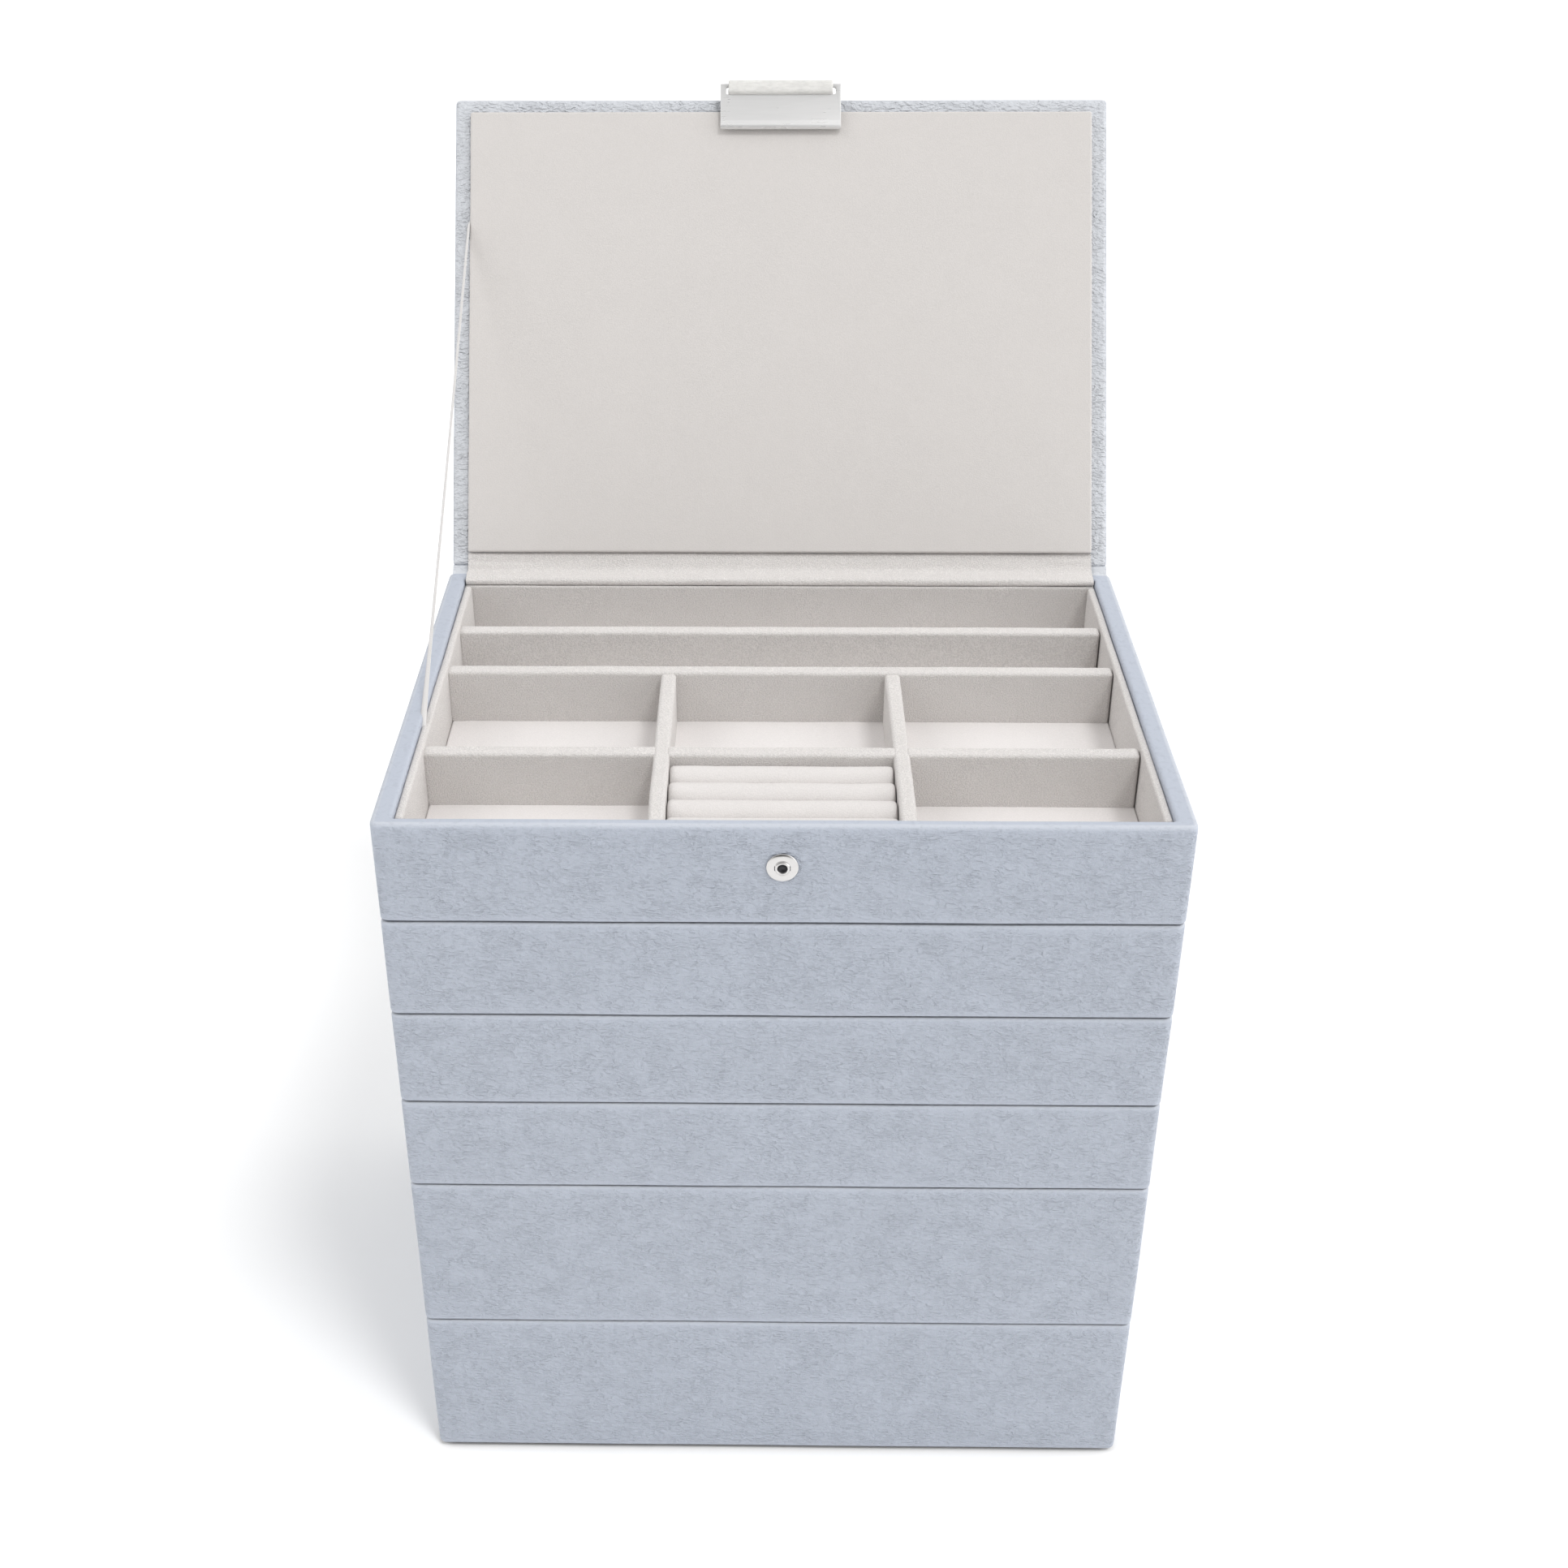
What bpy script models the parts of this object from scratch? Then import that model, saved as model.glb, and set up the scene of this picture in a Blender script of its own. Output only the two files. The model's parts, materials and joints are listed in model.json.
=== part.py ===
"""Stacking jewellery box: six velvet-lined leatherette trays, a hinged lid and a snap clasp.

Metres, +Z up, -Y is the front. The origin is the centre of the bottom tray's underside.
Trays are numbered from the top: tray_1 carries the lid and tray_6 stands on the table.
"""

import math

import bmesh
import bpy
from mathutils import Matrix, Vector

# ---- driving dimensions -------------------------------------------------------------------

WIDTH = 0.250
DEPTH = 0.180
SHALLOW_PITCH = 0.0361
DEEP_PITCH = 0.0636
CLEARANCE = 0.0003

# The trays' pitches from the bottom tray up to the top one.
PITCHES = [DEEP_PITCH, DEEP_PITCH, SHALLOW_PITCH, SHALLOW_PITCH, SHALLOW_PITCH, SHALLOW_PITCH]

# Leatherette-covered board shell of a tray.
SIDE_WALL = 0.0065
FRONT_WALL = 0.0041
BACK_WALL = 0.0056
BASE_BOARD = 0.0030
SEAM = 0.0006
CORNER_RADIUS = 0.0028
RIM_RADIUS = 0.0014

# Underside board that drops into the rim of the tray below.
PLINTH_DROP = 0.0017
PLINTH_SIDE_GAP = 0.0005

# Velvet parts inside a tray.
LINER_THICKNESS = 0.0024
LINER_BELOW_RIM = 0.0020
FLOOR_BELOW_RIM = {SHALLOW_PITCH: 0.0230, DEEP_PITCH: 0.0520}
DIVIDER_THICKNESS = 0.0056
LONG_DIVIDER_THICKNESS = 0.0052
DIVIDER_BELOW_RIM = 0.0035
ROLL_COUNT = 4
ROLL_BELOW_RIM = 0.0068

# Each tray's dividers: centres of the cross dividers along Y, centres of the long dividers
# along X, and which cross divider the long ones start from (None is the back liner).
LAYOUTS = {
    1: {"cross": [0.0491, 0.0180, -0.0385], "long": [-0.0388, 0.0388], "long_from": 1},
    2: {"cross": [0.0000], "long": [-0.0397, 0.0397], "long_from": None},
    3: {"cross": [0.0405, 0.0000, -0.0405], "long": [], "long_from": None},
    4: {"cross": [0.0000], "long": [0.0000], "long_from": None},
    5: {"cross": [], "long": [-0.0397, 0.0397], "long_from": None},
    6: {"cross": [], "long": [0.0000], "long_from": None},
}

# Lid, measured from the hinge line: u runs up the lid, n stands off its inner face.
LID_THICKNESS = 0.0090
LID_GAP = 0.0009
LID_INSET = 0.0009
LID_LENGTH = 0.1799
LID_START = 0.0016
LID_LEAN = math.radians(31.3)
PANEL_START = 0.0066
PANEL_END = 0.1744
PANEL_THICKNESS = 0.0020

# Hinge leather, velvet hinge lining and ribbon stay.
SPINE_THICKNESS = 0.0008
SPINE_DROP = 0.0140
SPINE_WIDTH = 0.2460
LINING_THICKNESS = 0.0005
LINING_WIDTH = 0.2360
RIBBON_WIDTH = 0.0026
RIBBON_THICKNESS = 0.0005
RIBBON_LID_U = 0.1280
RIBBON_TRAY_Y = -0.0240

# Clasp: a metal plate that hangs in a leather loop at the lid's front edge.
CLASP_U = 0.1832
CLASP_N = 0.0040
PLATE_WIDTH = 0.0456
PLATE_THICKNESS = 0.0012
PLATE_ABOVE_AXIS = 0.0010
PLATE_LENGTH = 0.0171
SLOT_WIDTH = 0.0418
SLOT_HEIGHT = 0.0030
SLOT_BAR = 0.0013
LIP_HEIGHT = 0.0022
LIP_FLARE = 0.0009
LOOP_WIDTH = 0.0398
LOOP_RADIUS = 0.0022
LOOP_LEATHER = 0.0009
TAB_THICKNESS = 0.0010
TAB_LENGTH = 0.0070
STUD_BELOW_AXIS = 0.0116
STUD_RADIUS = 0.0022
STUD_HEIGHT = 0.0007
SOCKET_RADIUS = 0.0050
SOCKET_HEIGHT = 0.0010
SOCKET_HOLE_RADIUS = 0.0015
SOCKET_HOLE_DEPTH = 0.0007

# ---- derived places -----------------------------------------------------------------------

TRAY_COUNT = len(PITCHES)
FLOORS = [PLINTH_DROP + sum(PITCHES[:i]) for i in range(TRAY_COUNT + 1)]
RIM_Z = FLOORS[-1]
HALF_WIDTH = WIDTH / 2
HALF_DEPTH = DEPTH / 2
POCKET_LOW = Vector((-HALF_WIDTH + SIDE_WALL, -HALF_DEPTH + FRONT_WALL))
POCKET_HIGH = Vector((HALF_WIDTH - SIDE_WALL, HALF_DEPTH - BACK_WALL))
LINER_LOW = POCKET_LOW + Vector((CLEARANCE, CLEARANCE))
LINER_HIGH = POCKET_HIGH - Vector((CLEARANCE, CLEARANCE))
ROOM_LOW = LINER_LOW + Vector((LINER_THICKNESS, LINER_THICKNESS))
ROOM_HIGH = LINER_HIGH - Vector((LINER_THICKNESS, LINER_THICKNESS))
HINGE = Vector((0.0, HALF_DEPTH, RIM_Z + LID_GAP))
LID_UP = Vector((0.0, math.sin(LID_LEAN), math.cos(LID_LEAN)))
LID_OUT = Vector((0.0, -math.cos(LID_LEAN), math.sin(LID_LEAN)))


# ---- materials ----------------------------------------------------------------------------


def principled(name, color, roughness, metallic=0.0):
    """A Principled BSDF material of one colour."""
    material = bpy.data.materials.new(name)
    material.use_nodes = True
    shader = material.node_tree.nodes["Principled BSDF"]
    shader.inputs["Base Color"].default_value = (*color, 1.0)
    shader.inputs["Roughness"].default_value = roughness
    shader.inputs["Metallic"].default_value = metallic
    material.diffuse_color = (*color, 1.0)
    return material


def make_materials():
    """The object's materials, by name."""
    return {
        "leatherette": principled("leatherette", (0.47, 0.51, 0.59), 0.55),
        "velvet": principled("velvet", (0.72, 0.69, 0.67), 0.90),
        "grey_leather": principled("grey_leather", (0.72, 0.71, 0.69), 0.60),
        "ribbon": principled("ribbon", (0.76, 0.74, 0.73), 0.70),
        "steel": principled("steel", (0.78, 0.77, 0.76), 0.30, 1.0),
    }


# ---- shape helpers ------------------------------------------------------------------------


def clear_scene():
    """Remove every object of the scene."""
    for item in list(bpy.data.objects):
        bpy.data.objects.remove(item, do_unlink=True)


def add_object(name, bm, material, parent=None):
    """Turn a bmesh into a named object with one material."""
    bmesh.ops.recalc_face_normals(bm, faces=bm.faces)
    mesh = bpy.data.meshes.new(name)
    bm.to_mesh(mesh)
    bm.free()
    mesh.materials.append(material)
    item = bpy.data.objects.new(name, mesh)
    bpy.context.scene.collection.objects.link(item)
    item.parent = parent
    return item


def soften(item, width, segments=2):
    """Round an object's edges with a Bevel modifier."""
    bevel = item.modifiers.new("rounded_edges", "BEVEL")
    bevel.width = width
    bevel.segments = segments
    bevel.limit_method = "ANGLE"
    bevel.angle_limit = math.radians(40)
    return item


def box_bmesh(low, high):
    """A box between two corners."""
    low = Vector(low)
    high = Vector(high)
    bm = bmesh.new()
    bmesh.ops.create_cube(bm, size=1.0)
    bmesh.ops.scale(bm, vec=high - low, verts=bm.verts)
    bmesh.ops.translate(bm, vec=(low + high) / 2, verts=bm.verts)
    return bm


def prism_bmesh(outline, axis, low, high):
    """Extrude a flat outline along X or Y. The outline's points are (y, z) for X and (x, z) for Y."""
    bm = bmesh.new()
    if axis == "X":
        points = [Vector((low, a, b)) for a, b in outline]
        sweep = Vector((high - low, 0.0, 0.0))
    else:
        points = [Vector((a, low, b)) for a, b in outline]
        sweep = Vector((0.0, high - low, 0.0))
    face = bm.faces.new([bm.verts.new(point) for point in points])
    side = bmesh.ops.extrude_face_region(bm, geom=[face])
    moved = [vert for vert in side["geom"] if isinstance(vert, bmesh.types.BMVert)]
    bmesh.ops.translate(bm, vec=sweep, verts=moved)
    return bm


def ring_bmesh(outer_low, outer_high, inner_low, inner_high, z_low, z_high, z_floor=None):
    """Four walls round a rectangle, open right through, or closed below z_floor."""
    def loop(low, high, z):
        corners = [(low.x, low.y), (high.x, low.y), (high.x, high.y), (low.x, high.y)]
        return [bm.verts.new((x, y, z)) for x, y in corners]

    bm = bmesh.new()
    outer_foot = loop(outer_low, outer_high, z_low)
    outer_rim = loop(outer_low, outer_high, z_high)
    inner_foot = loop(inner_low, inner_high, z_low if z_floor is None else z_floor)
    inner_rim = loop(inner_low, inner_high, z_high)
    bands = [(outer_foot, outer_rim), (outer_rim, inner_rim), (inner_rim, inner_foot)]
    if z_floor is None:
        bands.append((inner_foot, outer_foot))
    else:
        bm.faces.new(outer_foot)
        bm.faces.new(inner_foot)
    for first, second in bands:
        for i in range(4):
            j = (i + 1) % 4
            bm.faces.new((first[i], first[j], second[j], second[i]))
    return bm


def bevel_edges(bm, wanted, width, segments):
    """Bevel the edges whose middle point passes a test."""
    bmesh.ops.recalc_face_normals(bm, faces=bm.faces)
    edges = [edge for edge in bm.edges if wanted(edge)]
    bmesh.ops.bevel(bm, geom=edges, offset=width, segments=segments, profile=0.5, affect="EDGES")


def lid_matrix():
    """Carries lid coordinates (x, u, n) to the object's frame."""
    rotation = Matrix((Vector((1.0, 0.0, 0.0)), LID_UP, LID_OUT)).transposed()
    return Matrix.Translation(HINGE) @ rotation.to_4x4()


def add_axis_empty(name, position, parent=None):
    """An empty on a joint's axis, which carries the pieces that turn or slide together."""
    empty = bpy.data.objects.new(name, None)
    empty.empty_display_size = 0.02
    bpy.context.scene.collection.objects.link(empty)
    empty.parent = parent
    empty.location = position
    return empty


def rehang(item, parent):
    """Parent a piece without moving it, and put its origin on the parent."""
    bpy.context.view_layer.update()
    item.data.transform(parent.matrix_world.inverted() @ item.matrix_world)
    item.parent = parent
    item.matrix_parent_inverse = Matrix.Identity(4)
    item.matrix_basis = Matrix.Identity(4)
    return item


# ---- trays --------------------------------------------------------------------------------


def add_tray_shell(tray, z_base, z_rim, material):
    """Leatherette box: four walls on a base board, with rounded corners and a rounded rim."""
    z_low = z_base + SEAM
    bm = ring_bmesh(
        Vector((-HALF_WIDTH, -HALF_DEPTH)), Vector((HALF_WIDTH, HALF_DEPTH)),
        POCKET_LOW, POCKET_HIGH, z_low, z_rim, z_low + BASE_BOARD,
    )

    def upright_corner(edge):
        upright = abs(edge.verts[0].co.z - edge.verts[1].co.z) > BASE_BOARD
        return upright and abs(edge.verts[0].co.x) > HALF_WIDTH - SIDE_WALL / 2

    def rim_or_foot(edge):
        level = abs(edge.verts[0].co.z - edge.verts[1].co.z) < CLEARANCE
        height = edge.verts[0].co.z
        at_end = abs(height - z_rim) < CLEARANCE or abs(height - z_low) < CLEARANCE
        return level and at_end and edge.calc_face_angle(0.0) > math.radians(60)

    bevel_edges(bm, upright_corner, CORNER_RADIUS, 3)
    bevel_edges(bm, rim_or_foot, RIM_RADIUS, 3)
    return add_object(f"tray_{tray}_shell", bm, material)


def add_tray_plinth(tray, z_base, material):
    """Board under a tray, which drops into the rim of the tray below."""
    gap = Vector((PLINTH_SIDE_GAP, PLINTH_SIDE_GAP))
    low = POCKET_LOW + gap
    high = POCKET_HIGH - gap
    bm = box_bmesh((*low, z_base - PLINTH_DROP), (*high, z_base + SEAM - CLEARANCE))
    return soften(add_object(f"tray_{tray}_plinth", bm, material), 0.0005)


def add_tray_liner(tray, z_base, z_rim, material):
    """Velvet-covered frame that lines the four walls."""
    z_low = z_base + SEAM + BASE_BOARD + CLEARANCE
    z_high = z_rim - LINER_BELOW_RIM
    bm = ring_bmesh(LINER_LOW, LINER_HIGH, ROOM_LOW, ROOM_HIGH, z_low, z_high)
    bevel_edges(bm, lambda edge: min(vert.co.z for vert in edge.verts) > z_high - CLEARANCE, 0.0007, 2)
    return add_object(f"tray_{tray}_liner", bm, material)


def add_floor_pad(tray, z_base, z_top, material):
    """Padded velvet floor inside the liner."""
    low = (ROOM_LOW.x + CLEARANCE, ROOM_LOW.y + CLEARANCE, z_base + SEAM + BASE_BOARD + CLEARANCE)
    high = (ROOM_HIGH.x - CLEARANCE, ROOM_HIGH.y - CLEARANCE, z_top)
    return soften(add_object(f"tray_{tray}_floor_pad", box_bmesh(low, high), material), 0.0005)


def notched_outline(start, end, z_low, z_high, notches, half_notch, notch_z, from_top):
    """A tall rectangle with a row of half-lap notches, cut from its top or from its bottom."""
    lap, plain = (z_high, z_low) if from_top else (z_low, z_high)
    points = [(start, lap)]
    for middle in sorted(notches):
        left = middle - half_notch
        right = middle + half_notch
        points += [(left, lap), (left, notch_z), (right, notch_z), (right, lap)]
    return points + [(end, lap), (end, plain), (start, plain)]


def add_dividers(tray, z_floor, z_rim, material):
    """Cross and long velvet dividers, half-lapped where they meet."""
    layout = LAYOUTS[tray]
    z_low = z_floor + CLEARANCE
    z_high = z_rim - DIVIDER_BELOW_RIM
    z_lap = (z_low + z_high) / 2
    half_cross = DIVIDER_THICKNESS / 2
    half_long = LONG_DIVIDER_THICKNESS / 2
    first = layout["long_from"]
    long_back = ROOM_HIGH.y if first is None else layout["cross"][first] - half_cross
    crossed = [y for y in layout["cross"] if y < long_back - half_cross]
    for number, y in enumerate(layout["cross"], 1):
        notches = layout["long"] if y in crossed else []
        outline = notched_outline(
            ROOM_LOW.x + CLEARANCE, ROOM_HIGH.x - CLEARANCE, z_low, z_high,
            notches, half_long + CLEARANCE, z_lap - CLEARANCE / 2, True,
        )
        bm = prism_bmesh(outline, "Y", y - half_cross, y + half_cross)
        soften(add_object(f"tray_{tray}_cross_divider_{number}", bm, material), 0.0009)
    for number, x in enumerate(layout["long"], 1):
        outline = notched_outline(
            ROOM_LOW.y + CLEARANCE, long_back - CLEARANCE, z_low, z_high,
            crossed, half_cross + CLEARANCE, z_lap + CLEARANCE / 2, False,
        )
        bm = prism_bmesh(outline, "X", x - half_long, x + half_long)
        soften(add_object(f"tray_{tray}_long_divider_{number}", bm, material), 0.0009)


def add_ring_rolls(z_floor, z_rim, material):
    """Padded rolls side by side in the top tray's middle front bay. Rings stand between them."""
    layout = LAYOUTS[1]
    y_back = layout["cross"][-1] - DIVIDER_THICKNESS / 2
    x_end = layout["long"][-1] - LONG_DIVIDER_THICKNESS / 2 - CLEARANCE
    pitch = (y_back - ROOM_LOW.y) / ROLL_COUNT
    radius = pitch / 2 - CLEARANCE / 2
    z_centre = z_rim - ROLL_BELOW_RIM - radius
    steps = 8
    for number in range(1, ROLL_COUNT + 1):
        y_centre = y_back - pitch * (number - 0.5)
        outline = [(y_centre - radius, z_floor + CLEARANCE), (y_centre + radius, z_floor + CLEARANCE)]
        for step in range(steps + 1):
            angle = math.pi * step / steps
            outline.append((y_centre + radius * math.cos(angle), z_centre + radius * math.sin(angle)))
        add_object(f"ring_roll_{number}", prism_bmesh(outline, "X", -x_end, x_end), material)


def add_tray(tray, z_base, pitch, materials):
    """One whole tray with everything fixed in it."""
    z_rim = z_base + pitch
    z_floor = z_rim - FLOOR_BELOW_RIM[pitch]
    add_tray_shell(tray, z_base, z_rim, materials["leatherette"])
    add_tray_plinth(tray, z_base, materials["leatherette"])
    add_tray_liner(tray, z_base, z_rim, materials["velvet"])
    add_floor_pad(tray, z_base, z_floor, materials["velvet"])
    add_dividers(tray, z_floor, z_rim, materials["velvet"])
    if tray == 1:
        add_ring_rolls(z_floor, z_rim, materials["velvet"])


# ---- lid and hinge ------------------------------------------------------------------------


def add_lid(hinge, materials):
    """Leatherette lid board and the velvet panel that drops inside the top tray's rim."""
    half_board = HALF_WIDTH - LID_INSET
    board = box_bmesh((-half_board, LID_START, -LID_THICKNESS), (half_board, LID_LENGTH, 0.0))
    item = soften(add_object("lid_board", board, materials["leatherette"], hinge), RIM_RADIUS, 3)
    half_panel = POCKET_HIGH.x - PLINTH_SIDE_GAP
    panel = box_bmesh(
        (-half_panel, PANEL_START, CLEARANCE), (half_panel, PANEL_END, CLEARANCE + PANEL_THICKNESS),
    )
    soften(add_object("lid_panel", panel, materials["velvet"], hinge), 0.0006)
    return item


def from_lid(u, n):
    """A point (y, z) of the lid's cross-section."""
    point = HINGE + LID_UP * u + LID_OUT * n
    return (point.y, point.z)


def add_hinge_spine(material):
    """Leather web on the outside, from the tray's back face to the lid's end face."""
    y_in = HALF_DEPTH + CLEARANCE
    y_out = y_in + SPINE_THICKNESS
    z_foot = RIM_Z - SPINE_DROP
    u_lid = LID_START - CLEARANCE
    u_air = u_lid - SPINE_THICKNESS
    n_end = -LID_THICKNESS + RIM_RADIUS
    outline = [
        (y_in, z_foot), (y_out, z_foot), (y_out, RIM_Z - SPINE_THICKNESS),
        from_lid(u_air, -1.9 * SPINE_THICKNESS), from_lid(u_air, n_end),
        from_lid(u_lid, n_end), from_lid(u_lid, -CLEARANCE), (y_in, RIM_Z + CLEARANCE),
    ]
    bm = prism_bmesh(outline, "X", -SPINE_WIDTH / 2, SPINE_WIDTH / 2)
    return add_object("hinge_spine", bm, material)


def add_hinge_lining(material):
    """Velvet strip on the inside, from the lid panel's end over the tray's back rim."""
    t = LINING_THICKNESS
    y_liner = ROOM_HIGH.y
    z_liner = RIM_Z - LINER_BELOW_RIM + CLEARANCE
    n_low = CLEARANCE
    outer = [
        from_lid(PANEL_START - CLEARANCE, n_low + t), from_lid(LID_START, n_low + 1.5 * t),
        (HALF_DEPTH - 2 * t, RIM_Z + 3 * t), (y_liner + 2 * t, RIM_Z + 2 * t),
        (y_liner + t / 2, RIM_Z + t), (y_liner, RIM_Z - t / 2), (y_liner, z_liner),
    ]
    inner = [
        (y_liner + 2 * t, z_liner), (y_liner + 2 * t, RIM_Z + CLEARANCE),
        (HALF_DEPTH - t, RIM_Z + CLEARANCE), from_lid(LID_START, n_low),
        from_lid(PANEL_START - CLEARANCE, n_low),
    ]
    bm = prism_bmesh(outer + inner, "X", -LINING_WIDTH / 2, LINING_WIDTH / 2)
    return add_object("hinge_lining", bm, material)


def add_stay_ribbon(material):
    """Flat ribbon that stops the lid. It runs from the lid to the top tray's left wall."""
    x_lid = -(POCKET_HIGH.x - PLINTH_SIDE_GAP) - CLEARANCE - RIBBON_THICKNESS
    x_tray = POCKET_LOW.x + CLEARANCE
    y_lid, z_lid = from_lid(RIBBON_LID_U, CLEARANCE)
    z_tray = RIM_Z - LINER_BELOW_RIM + CLEARANCE
    bm = bmesh.new()
    sections = []
    run = Vector((0.0, y_lid - RIBBON_TRAY_Y, z_lid - z_tray)).normalized()
    ends = [(x_lid, y_lid, z_lid, LID_UP), (x_tray, RIBBON_TRAY_Y, z_tray, Vector((0.0, -1.0, 0.0)))]
    for x, y, z, across in ends:
        corner = Vector((x, y, z))
        reach = across * RIBBON_WIDTH / across.cross(run).length
        side = Vector((RIBBON_THICKNESS, 0.0, 0.0))
        loop = [corner, corner + side, corner + side + reach, corner + reach]
        sections.append([bm.verts.new(point) for point in loop])
    for i in range(4):
        j = (i + 1) % 4
        bm.faces.new((sections[0][i], sections[0][j], sections[1][j], sections[1][i]))
    bm.faces.new(sections[0])
    bm.faces.new(sections[1])
    return add_object("stay_ribbon", bm, material)


# ---- clasp --------------------------------------------------------------------------------


def clasp_box(name, low, high, clasp, material):
    """A box in the clasp's own coordinates: x, along the lid, off the lid, from the loop's axis."""
    return add_object(name, box_bmesh(low, high), material, clasp)


def add_clasp_tab(hinge, material):
    """Leather tab on the lid's front edge, which leads into the loop."""
    half = LOOP_WIDTH / 2
    low = (-half, LID_LENGTH + CLEARANCE, -TAB_LENGTH)
    high = (half, LID_LENGTH + CLEARANCE + TAB_THICKNESS, 2 * CLEARANCE)
    return soften(add_object("clasp_tab", box_bmesh(low, high), material, hinge), 0.0003)


def add_clasp_loop(clasp, material):
    """Leather loop round the bar at the top of the plate's slot."""
    steps = 16
    half = LOOP_WIDTH / 2
    bm = bmesh.new()
    stations = [
        (LOOP_RADIUS, -half), (LOOP_RADIUS, half),
        (LOOP_RADIUS - LOOP_LEATHER, half), (LOOP_RADIUS - LOOP_LEATHER, -half),
    ]
    rings = []
    for radius, x in stations:
        angles = [2 * math.pi * i / steps for i in range(steps)]
        rings.append([bm.verts.new((x, radius * math.cos(a), radius * math.sin(a))) for a in angles])
    for first, second in zip(rings, rings[1:] + rings[:1]):
        for i in range(steps):
            j = (i + 1) % steps
            bm.faces.new((first[i], first[j], second[j], second[i]))
    return add_object("clasp_loop", bm, material, clasp)


def add_clasp_plate(clasp, material):
    """Metal plate with a slot near its top edge and a finger lip along its bottom edge."""
    half = PLATE_WIDTH / 2
    half_thick = PLATE_THICKNESS / 2
    top = PLATE_ABOVE_AXIS
    low_end = top - PLATE_LENGTH
    slot_top = top - SLOT_BAR
    outline = [
        (top, -half_thick), (low_end, -half_thick), (low_end, half_thick + LIP_FLARE),
        (low_end + LIP_HEIGHT / 2, half_thick + LIP_FLARE), (low_end + LIP_HEIGHT, half_thick),
        (top, half_thick),
    ]
    plate = add_object("clasp_plate", prism_bmesh(outline, "X", -half, half), material, clasp)
    cutter = clasp_box(
        "clasp_slot_cutter", (-SLOT_WIDTH / 2, slot_top - SLOT_HEIGHT, -PLATE_THICKNESS),
        (SLOT_WIDTH / 2, slot_top, PLATE_THICKNESS), clasp, material,
    )
    cutter.hide_render = True
    cutter.display_type = "WIRE"
    slot = plate.modifiers.new("slot", "BOOLEAN")
    slot.operation = "DIFFERENCE"
    slot.solver = "EXACT"
    slot.object = cutter
    return soften(plate, 0.0002)


def turned_bmesh(profile, steps):
    """Revolve an outline of (radius, height) points about Z. The outline starts and ends on the axis."""
    bm = bmesh.new()
    rings = []
    for radius, height in profile:
        if radius == 0.0:
            rings.append([bm.verts.new((0.0, 0.0, height))])
            continue
        angles = [2 * math.pi * i / steps for i in range(steps)]
        rings.append([bm.verts.new((radius * math.cos(a), radius * math.sin(a), height)) for a in angles])
    for first, second in zip(rings, rings[1:]):
        for i in range(steps):
            j = (i + 1) % steps
            corners = [
                first[i % len(first)], first[j % len(first)],
                second[j % len(second)], second[i % len(second)],
            ]
            bm.faces.new(list(dict.fromkeys(corners)))
    return bm


def add_clasp_stud(clasp, material):
    """Snap stud on the plate's back."""
    profile = [
        (0.0, 0.0), (STUD_RADIUS, 0.0), (STUD_RADIUS, STUD_HEIGHT / 2),
        (STUD_RADIUS * 0.8, STUD_HEIGHT), (0.0, STUD_HEIGHT),
    ]
    bm = turned_bmesh(profile, 20)
    bm.transform(Matrix.Rotation(math.pi, 4, "X"))
    back_face = -PLATE_THICKNESS / 2 - CLEARANCE / 2
    bmesh.ops.translate(bm, vec=(0.0, -STUD_BELOW_AXIS, back_face), verts=bm.verts)
    return add_object("clasp_stud", bm, material, clasp)


def add_snap_socket(material):
    """Snap socket on the top tray's front face, where the stud comes when the lid is closed."""
    height = HINGE.z - CLASP_N - STUD_BELOW_AXIS
    profile = [
        (0.0, 0.0), (SOCKET_RADIUS, 0.0), (SOCKET_RADIUS, SOCKET_HEIGHT * 0.4),
        (SOCKET_RADIUS * 0.8, SOCKET_HEIGHT), (SOCKET_HOLE_RADIUS, SOCKET_HEIGHT),
        (SOCKET_HOLE_RADIUS, SOCKET_HEIGHT - SOCKET_HOLE_DEPTH), (0.0, SOCKET_HEIGHT - SOCKET_HOLE_DEPTH),
    ]
    bm = turned_bmesh(profile, 32)
    bm.transform(Matrix.Rotation(math.pi / 2, 4, "X"))
    bmesh.ops.translate(bm, vec=(0.0, -HALF_DEPTH - CLEARANCE, height), verts=bm.verts)
    return add_object("snap_socket", bm, material)


# ---- assembly -----------------------------------------------------------------------------


def place_lid_and_clasp(materials):
    """The lid on its hinge axis, and the clasp on the loop's axis, in the open position."""
    hinge = add_axis_empty("lid_axis", (0.0, 0.0, 0.0))
    hinge.matrix_world = lid_matrix()
    clasp = add_axis_empty("clasp_axis", (0.0, CLASP_U, CLASP_N), hinge)
    bpy.context.view_layer.update()
    add_lid(hinge, materials)
    add_hinge_spine(materials["leatherette"])
    add_hinge_lining(materials["velvet"])
    add_stay_ribbon(materials["ribbon"])
    add_clasp_tab(hinge, materials["grey_leather"])
    add_clasp_loop(clasp, materials["grey_leather"])
    add_clasp_plate(clasp, materials["steel"])
    add_clasp_stud(clasp, materials["steel"])
    add_snap_socket(materials["steel"])


def place_trays(materials):
    """The six trays, bottom to top, each on an empty at the middle of its base."""
    for level, pitch in enumerate(PITCHES):
        tray = TRAY_COUNT - level
        add_tray(tray, FLOORS[level], pitch, materials)
        carrier = add_axis_empty(f"tray_{tray}_base", (0.0, 0.0, FLOORS[level]))
        own = [item for item in bpy.data.objects if item.type == "MESH" and item.parent is None]
        for item in own:
            rehang(item, carrier)


def main():
    clear_scene()
    materials = make_materials()
    place_trays(materials)
    place_lid_and_clasp(materials)


main()
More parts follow.
